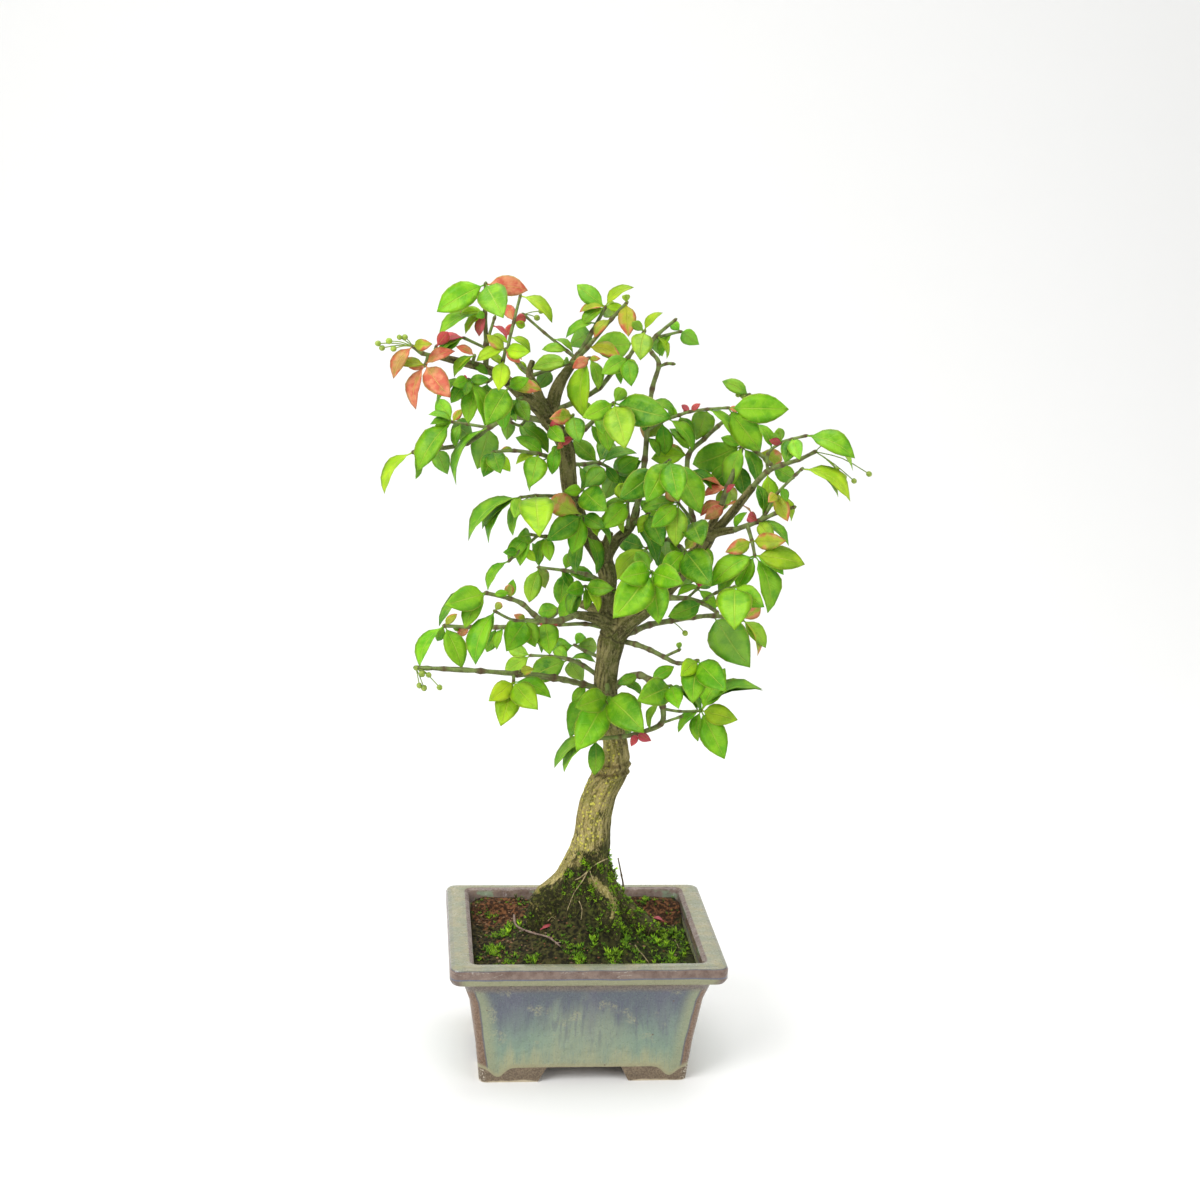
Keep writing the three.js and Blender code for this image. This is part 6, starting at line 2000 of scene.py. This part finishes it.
@dataclass
class Ground:
    """What lies and grows on the soil and on the trunk's foot."""

    soil: Soil
    rng: Rng = field(default_factory=lambda: np.random.default_rng(404))
    shoot: MossShoot = field(default_factory=MossShoot)
    skin: BVHTree | None = None
    half: tuple[float, float] = (59.0, 45.0)
    above: float = 130.0
    spacing: float = 1.25
    wood_tries: int = 5600
    foot_x: float = 2.0
    foot_reach: float = 70.0
    wood_heights: tuple[float, float] = (68.0, 52.0)
    crumbs: int = 560
    moss_tints: tuple[Colour, ...] = (
        (0.25, 0.45, 0.008), (0.165, 0.355, 0.005), (0.09, 0.23, 0.004),
        (0.04, 0.09, 0.006), (0.05, 0.055, 0.01),
    )
    crumb_tints: tuple[Colour, ...] = (
        (0.2, 0.085, 0.035), (0.11, 0.06, 0.03), (0.3, 0.17, 0.09), (0.035, 0.022, 0.012),
        (0.24, 0.17, 0.1),
    )
    tufts: str = (
        "584,864,3.5,16 571,874,3,14 576,884,3,8 593,894,3,8 620,886,3,14 626,893,3,14 "
        "633,900,3,16 640,908,4,18 612,876,3,8 607,905,3,6 568,894,3,5 600,921,4,6"
    )
    clumps: str = (
        "-40,6,7,6,0.9 -52,-14,9,18,0.5 -8,-40,15,6,0.5 10,-34,12,8,0.4 24,-36,14,7,0.5 "
        "36,-14,20,20,0.6 50,-30,12,12,0.6 30,2,14,6,0.7 50,8,8,8,0.7 44,40,4,4,1 "
        "-30,-32,18,10,0.25 4,-22,16,10,0.3 -50,28,6,4,0.3 -4,34,22,9,0.5 20,30,12,10,0.4 "
        "30,18,8,8,0.5"
    )

    def build(self) -> None:
        """Plants the moss and scatters the litter, once trunk and soil are made."""
        self.shoot.model()
        self.skin = tree_of("trunk_and_limbs")
        self.moss_on_soil()
        self.moss_on_wood()
        self.rootlets()
        self.scatter()

    def free(self, x: float, y: float) -> bool:
        """Tells whether a place on the soil is clear of the trunk."""
        hit = FRAME.cast(self.skin, np.array([x, y, self.above]), (0, 0, -1))
        return hit is None or hit[0][2] < float(self.soil.height(x, y)) - 0.5

    def tint(self, kind: float, mean: float, spread: float) -> Array:
        """Takes a moss tint by its place and draws how much brighter it is, as a power of e."""
        tint = self.moss_tints[int(np.clip(kind, 0, len(self.moss_tints) - 1))]
        return np.array(tint) * np.exp(self.rng.normal(mean, spread))

    def moss_on_soil(self) -> None:
        """Plants the moss on the soil, thick on the right and in front."""
        rng, build = self.rng, Build()
        across = np.arange(-60, 60, self.spacing)
        x, y = (grid.ravel() for grid in np.meshgrid(across, across[np.abs(across) < 45.5]))
        x, y = x + rng.uniform(-0.6, 0.6, len(x)), y + rng.uniform(-0.6, 0.6, len(x))
        patch = np.clip(0.55 + lumps(x, y, (0.11, 21, 2.85), (0.3, 4, 1.52)), 0.04, 2.0)
        want = (0.15 + humps(x, y, rows_of(self.clumps))) * patch
        keep = rng.uniform(0, 1.0, len(x)) < want
        x, y, want = x[keep], y[keep], want[keep]
        for a, b, c, thick in zip(x, y, self.soil.surface(x, y), want):
            if self.free(a, b):
                lush = min(float(thick), 1.1)
                tint = self.tint(round(rng.normal(3.1 - 2.6 * lush, 1.2)), -0.1, 0.3)
                scale = (0.75 + 1.1 * lush) * rng.uniform(0.6, 1.4)
                up = np.array([0, 0, 1.0])
                self.shoot.plant(build, np.array([a, b, c]), up, scale, tint, rng)
        build.piece("moss_on_soil", MossFinish(), "mossy_soil")

    def moss_on_wood(self) -> None:
        """Plants moss all round the trunk's foot, then the tufts that the picture shows."""
        rng, build = self.rng, Build()
        for _ in range(self.wood_tries):
            turn = rng.uniform(0, 2 * math.pi)
            low, above = self.wood_heights
            z = low + above * rng.uniform(0, 1) ** 1.5
            out = self.foot_reach * np.array([math.cos(turn), math.sin(turn), 0])
            hit = FRAME.cast(self.skin, out + [self.foot_x, 0, z], unit(-out))
            if hit is None:
                continue
            (x, y, z), normal = hit
            patch = noise.noise(Vector((x * 0.13, y * 0.13, z * 0.1 + 3)))
            want = 0.14 + 0.55 * normal[0] + 0.2 * normal[2] + patch * 1.5
            want -= np.clip((z - 100 - 0.6 * x) / 14, 0, 1) * 0.8
            if z < self.soil.height(x, y) or rng.uniform(0, 1) > want:
                continue
            tint = self.tint(rng.normal(2.6 - 2.3 * want, 1.2), 0, 0.4)
            up = unit(normal + np.array([0, 0, 0.5]))
            self.shoot.plant(build, hit[0], up, rng.uniform(0.7, 1.5), tint, rng)
        for px, py, spread, much in rows_of(self.tufts):
            for _ in range(int(much)):
                ray = PHOTO.ray(*rng.normal((px, py), spread))
                hit = FRAME.cast(self.skin, PHOTO.eye, ray)
                if hit:
                    tint = self.tint(rng.integers(0, 2), 0, 0.3)
                    up = unit(hit[1] + np.array([0, 0, 0.6]))
                    self.shoot.plant(build, hit[0], up, rng.uniform(1.0, 1.9), tint, rng)
        build.piece("moss_on_roots", MossFinish(), "mossy_soil")

    def rootlets(self) -> None:
        """Lays thin roots over the trunk's foot and the soil, along points of the picture."""
        build, trees = Build(), (self.skin, tree_of("soil_in_pot"))
        for word in ROOTLETS.split():
            path, (radius, *line) = [], numbers(word[1:])
            for px, py in smooth_path(np.reshape(line, (-1, 2)), 3):
                ray = PHOTO.ray(px, py)
                hits = [hit[0] for tree in trees if (hit := FRAME.cast(tree, PHOTO.eye, ray))]
                if hits:
                    near = min(hits, key=lambda point: float((point - PHOTO.eye) @ ray))
                    path.append(near - ray * radius * 0.8)
            if len(path) > 2:
                radii = radius * np.linspace(1.0, 0.55, len(path))
                build.tube(np.array(path), radii, 6, STICK_TINTS[word[0]])
        build.piece("rootlets", LitterFinish(), "bark")

    def scatter(self) -> None:
        """Scatters crumbs of bark, peat and grit over the soil."""
        select()
        bpy.ops.mesh.primitive_ico_sphere_add(subdivisions=1, radius=1.0, location=(0, 0, 0))
        points, faces = take_shape(bpy.context.object)
        rng, build, made = self.rng, Build(), 0
        while made < self.crumbs:
            x, y = (rng.uniform(-half, half) for half in self.half)
            if rng.uniform(0, 1) > 0.45 - x / 150 or not self.free(x, y):
                continue
            size = rng.uniform(0.35, 1.15) * np.array([
                1.0, rng.uniform(0.5, 0.9), rng.uniform(0.35, 0.7)
            ])
            turn = rng.uniform(0, 6.28)
            cos, sin = math.cos(turn), math.sin(turn)
            rough = points * (1 + rng.uniform(-0.25, 0.25, (len(points), 1))) * size
            turned = rough @ np.array([[cos, sin, 0], [-sin, cos, 0], [0, 0, 1]])
            foot = [x, y, float(self.soil.surface(x, y)[0]) + size[2] * 0.35]
            tint = self.crumb_tints[int(rng.integers(0, len(self.crumb_tints)))]
            build.add(turned + foot, faces, tint)
            made += 1
        build.piece("crumbs_on_soil", LitterFinish(), "mossy_soil")


@dataclass
class Litter:
    """The loose things on the soil: a dead twig, a dry stalk and two fallen leaves."""

    soil: Soil
    twig: Rows = (
        (-36.5, 24), (-36, 5), (-28, -11), (-20, -21), (-14, -29),
    )
    twig_radius: float = 0.66
    twig_tint: Colour = (0.3, 0.215, 0.175)
    sprigs: tuple[tuple[int, tuple[float, float, float]], ...] = (
        (11, (-3.5, -2.2, 0.4)), (19, (3.0, -2.6, 0.8)), (25, (2.4, -1.2, 0.9)),
    )
    stalk: tuple[tuple[float, float, float], ...] = (
        (26.5, 16, 64), (25, 15.5, 90), (23.6, 15, 98), (21.2, 15, 108.6),
    )
    stalk_radius: float = 0.65
    stalk_tint: Colour = (0.17, 0.12, 0.06)
    leaves: dict[str, tuple[float, ...]] = field(default_factory=lambda: {
        "left": (-24, -12, 12, 9, 4.5), "right": (50, 19, 160, 8, 4),
    })
    leaf_sag: float = 1.2
    leaf_tint: Colour = (0.5, 0.085, 0.115)

    def build(self, shape: LeafShape) -> None:
        """Makes the four loose pieces.

        Args:
            shape: The leaf that the fallen ones are copied from.
        """
        self.dead_twig()
        self.dry_stalk()
        for side in self.leaves:
            self.fallen_leaf(shape, side)

    def dead_twig(self) -> None:
        """Makes the knotted dead twig where its solid lies."""
        points = np.array([
            (x, y, self.soil.height(x, y) + self.twig_radius) for x, y in self.twig
        ], float)
        solid = FRAME.node_points("dead_twig")
        points[:, 2] += solid[:, 2].max() - (points[:, 2].max() + self.twig_radius * 0.95)
        path = smooth_path(points, 7)
        bumps = 1 + 0.28 * np.exp(-((np.arange(len(path)) % 9 - 4.0) / 1.1) ** 2)
        radii = self.twig_radius * bumps * np.linspace(1.0, 0.62, len(path))
        build = Build()
        build.tube(path, radii, 9, self.twig_tint)
        for at, sprig in self.sprigs:
            run = smooth_path(np.array([path[at], path[at] + sprig]), 3)
            build.tube(run, np.linspace(0.42, 0.2, len(run)), 6, self.twig_tint)
        build.piece("dead_twig_on_soil", LitterFinish(), "dry_straw", ["dead_twig"])

    def dry_stalk(self) -> None:
        """Makes the dry stalk with its joints and torn tip."""
        path = smooth_path(np.array(self.stalk, float), 6)
        radii = self.stalk_radius * np.linspace(1.0, 0.6, len(path))
        radii[[6, 12]] *= 1.35
        build = Build()
        build.tube(path, radii, 8, self.stalk_tint)
        build.piece("dry_stalk_in_soil", LitterFinish(), "dry_straw", ["dry_stalk"])

    def fallen_leaf(self, shape: LeafShape, side: str) -> None:
        """Makes one fallen leaf where its solid lies.

        Args:
            shape: The leaf that it is copied from.
            side: Its name in leaves, which holds its foot, heading, length and width.
        """
        x, y, heading, length, width = self.leaves[side]
        name, turn = "fallen_leaf_" + side, math.radians(heading)
        along = unit(np.array([math.cos(turn), math.sin(turn), 0.12]))
        across = -unit(np.cross([0, 0, 1.0], along))
        base = np.array([x, y, FRAME.node_points(name)[:, 2].min() + 0.25])
        up = np.cross(across, along)
        pose = LeafPose(base, along, length, width, self.leaf_sag, across, up)
        points, marks = shape.placed(pose, np.random.default_rng(5))
        build = Build()
        build.add(points, shape.faces, self.leaf_tint, marks, blush=Tone.RED.blush)
        build.piece(name + "_blade", LeafFinish(), "leaf_red", [name])


class Screens:
    """The two plastic screens, whose solids stay and take a finish."""

    def build(self) -> None:
        """Puts the plastic on both solids."""
        for item in bpy.data.objects:
            if str(item.get("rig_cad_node", "")).startswith("drain_screen"):
                item.data.materials.clear()
                item.data.materials.append(MeshFinish().material())
                LOG.info("%s: solid kept", item.name)


@dataclass
class Studio:
    """A pale curved backdrop, soft light and the camera at the photo's angle."""

    half_width: float = 3.0
    front: float = -3.0
    back: float = 1.6
    bend: float = 0.9
    height: float = 4.0
    tone: Colour = (0.9, 0.9, 0.89)
    room_light: float = 0.62
    lamps: tuple[tuple[str, tuple[float, float, float], float, float], ...] = (
        ("window", (-1.0, -0.75, 1.05), 0.9, 17.0),
        ("fill", (1.1, -1.0, 0.8), 1.2, 6.0),
        ("top", (0.1, 0.25, 1.5), 0.9, 10.0),
    )
    sensor: float = 36.0

    def build(self) -> None:
        """Sets up backdrop, light and camera."""
        self.backdrop()
        self.light()
        self.camera()

    def backdrop(self) -> None:
        """Makes the floor that curves up into a wall behind the pot."""
        turns = np.linspace(0, math.pi / 2, 13)
        y = self.back - self.bend * (1 - np.sin(turns))
        z = self.bend * (1 - np.cos(turns))
        profile = [(self.front, 0.0), *zip(y, z), (self.back, self.height)]
        points = [(x, y, z) for y, z in profile for x in (-self.half_width, self.half_width)]
        faces = [(2 * i, 2 * i + 1, 2 * i + 3, 2 * i + 2) for i in range(len(profile) - 1)]
        mesh = bpy.data.meshes.new("backdrop")
        mesh.from_pydata(points, [], faces)
        mesh.polygons.foreach_set("use_smooth", [True] * len(mesh.polygons))
        paper = bpy.data.materials.new("backdrop_paper")
        paper.use_nodes = True
        shader = next(n for n in paper.node_tree.nodes if n.type == "BSDF_PRINCIPLED")
        shader.inputs["Base Color"].default_value = (*self.tone, 1)
        shader.inputs["Roughness"].default_value = 0.9
        mesh.materials.append(paper)
        put("backdrop", mesh)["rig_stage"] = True

    def light(self) -> None:
        """Lights the tree from the upper left, with a soft fill all round."""
        world = bpy.data.worlds.new("soft_room")
        world.use_nodes = True
        colour, strength = world.node_tree.nodes["Background"].inputs[:2]
        colour.default_value, strength.default_value = (1, 1, 1, 1), self.room_light
        bpy.context.scene.world = world
        for name, place, size, watts in self.lamps:
            lamp = bpy.data.lights.new(name, "AREA")
            lamp.size, lamp.energy = size, watts
            item = put(name, lamp)
            item.location = place
            aim = Vector((0, 0, 0.2)) - Vector(place)
            item.rotation_euler = aim.to_track_quat("-Z", "Y").to_euler()

    def camera(self) -> None:
        """Puts the camera where the photo's was."""
        right, up, forward = PHOTO.axes()
        lens = bpy.data.cameras.new("photo_camera")
        lens.sensor_width = self.sensor
        lens.lens = PHOTO.focal / PHOTO.size * self.sensor
        lens.clip_start, lens.clip_end = 0.01, 50.0
        item = put("photo_camera", lens)
        rows = np.column_stack([right, up, -forward, FRAME.metres(PHOTO.eye)])
        item.matrix_world = Matrix([*rows.tolist(), [0, 0, 0, 1]])
        bpy.context.scene.camera = item
        bpy.context.scene.view_settings.view_transform = "Standard"


def main() -> None:
    """Builds every piece over its solid."""
    logging.basicConfig(level=logging.INFO, format="%(name)s: %(message)s")
    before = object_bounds()
    FRAME.find()
    crown, soil = Crown(), Soil()
    crown.build()
    Trunk().build()
    Pot().build()
    Screens().build()
    soil.build()
    Ground(soil).build()
    Litter(soil).build(crown.shape)
    Studio().build()
    boxes = [[[float(v) for v in corner] for corner in box] for box in (before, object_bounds())]
    LOG.info("boxes: %s", boxes)


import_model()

if __name__ == "__main__":
    main()
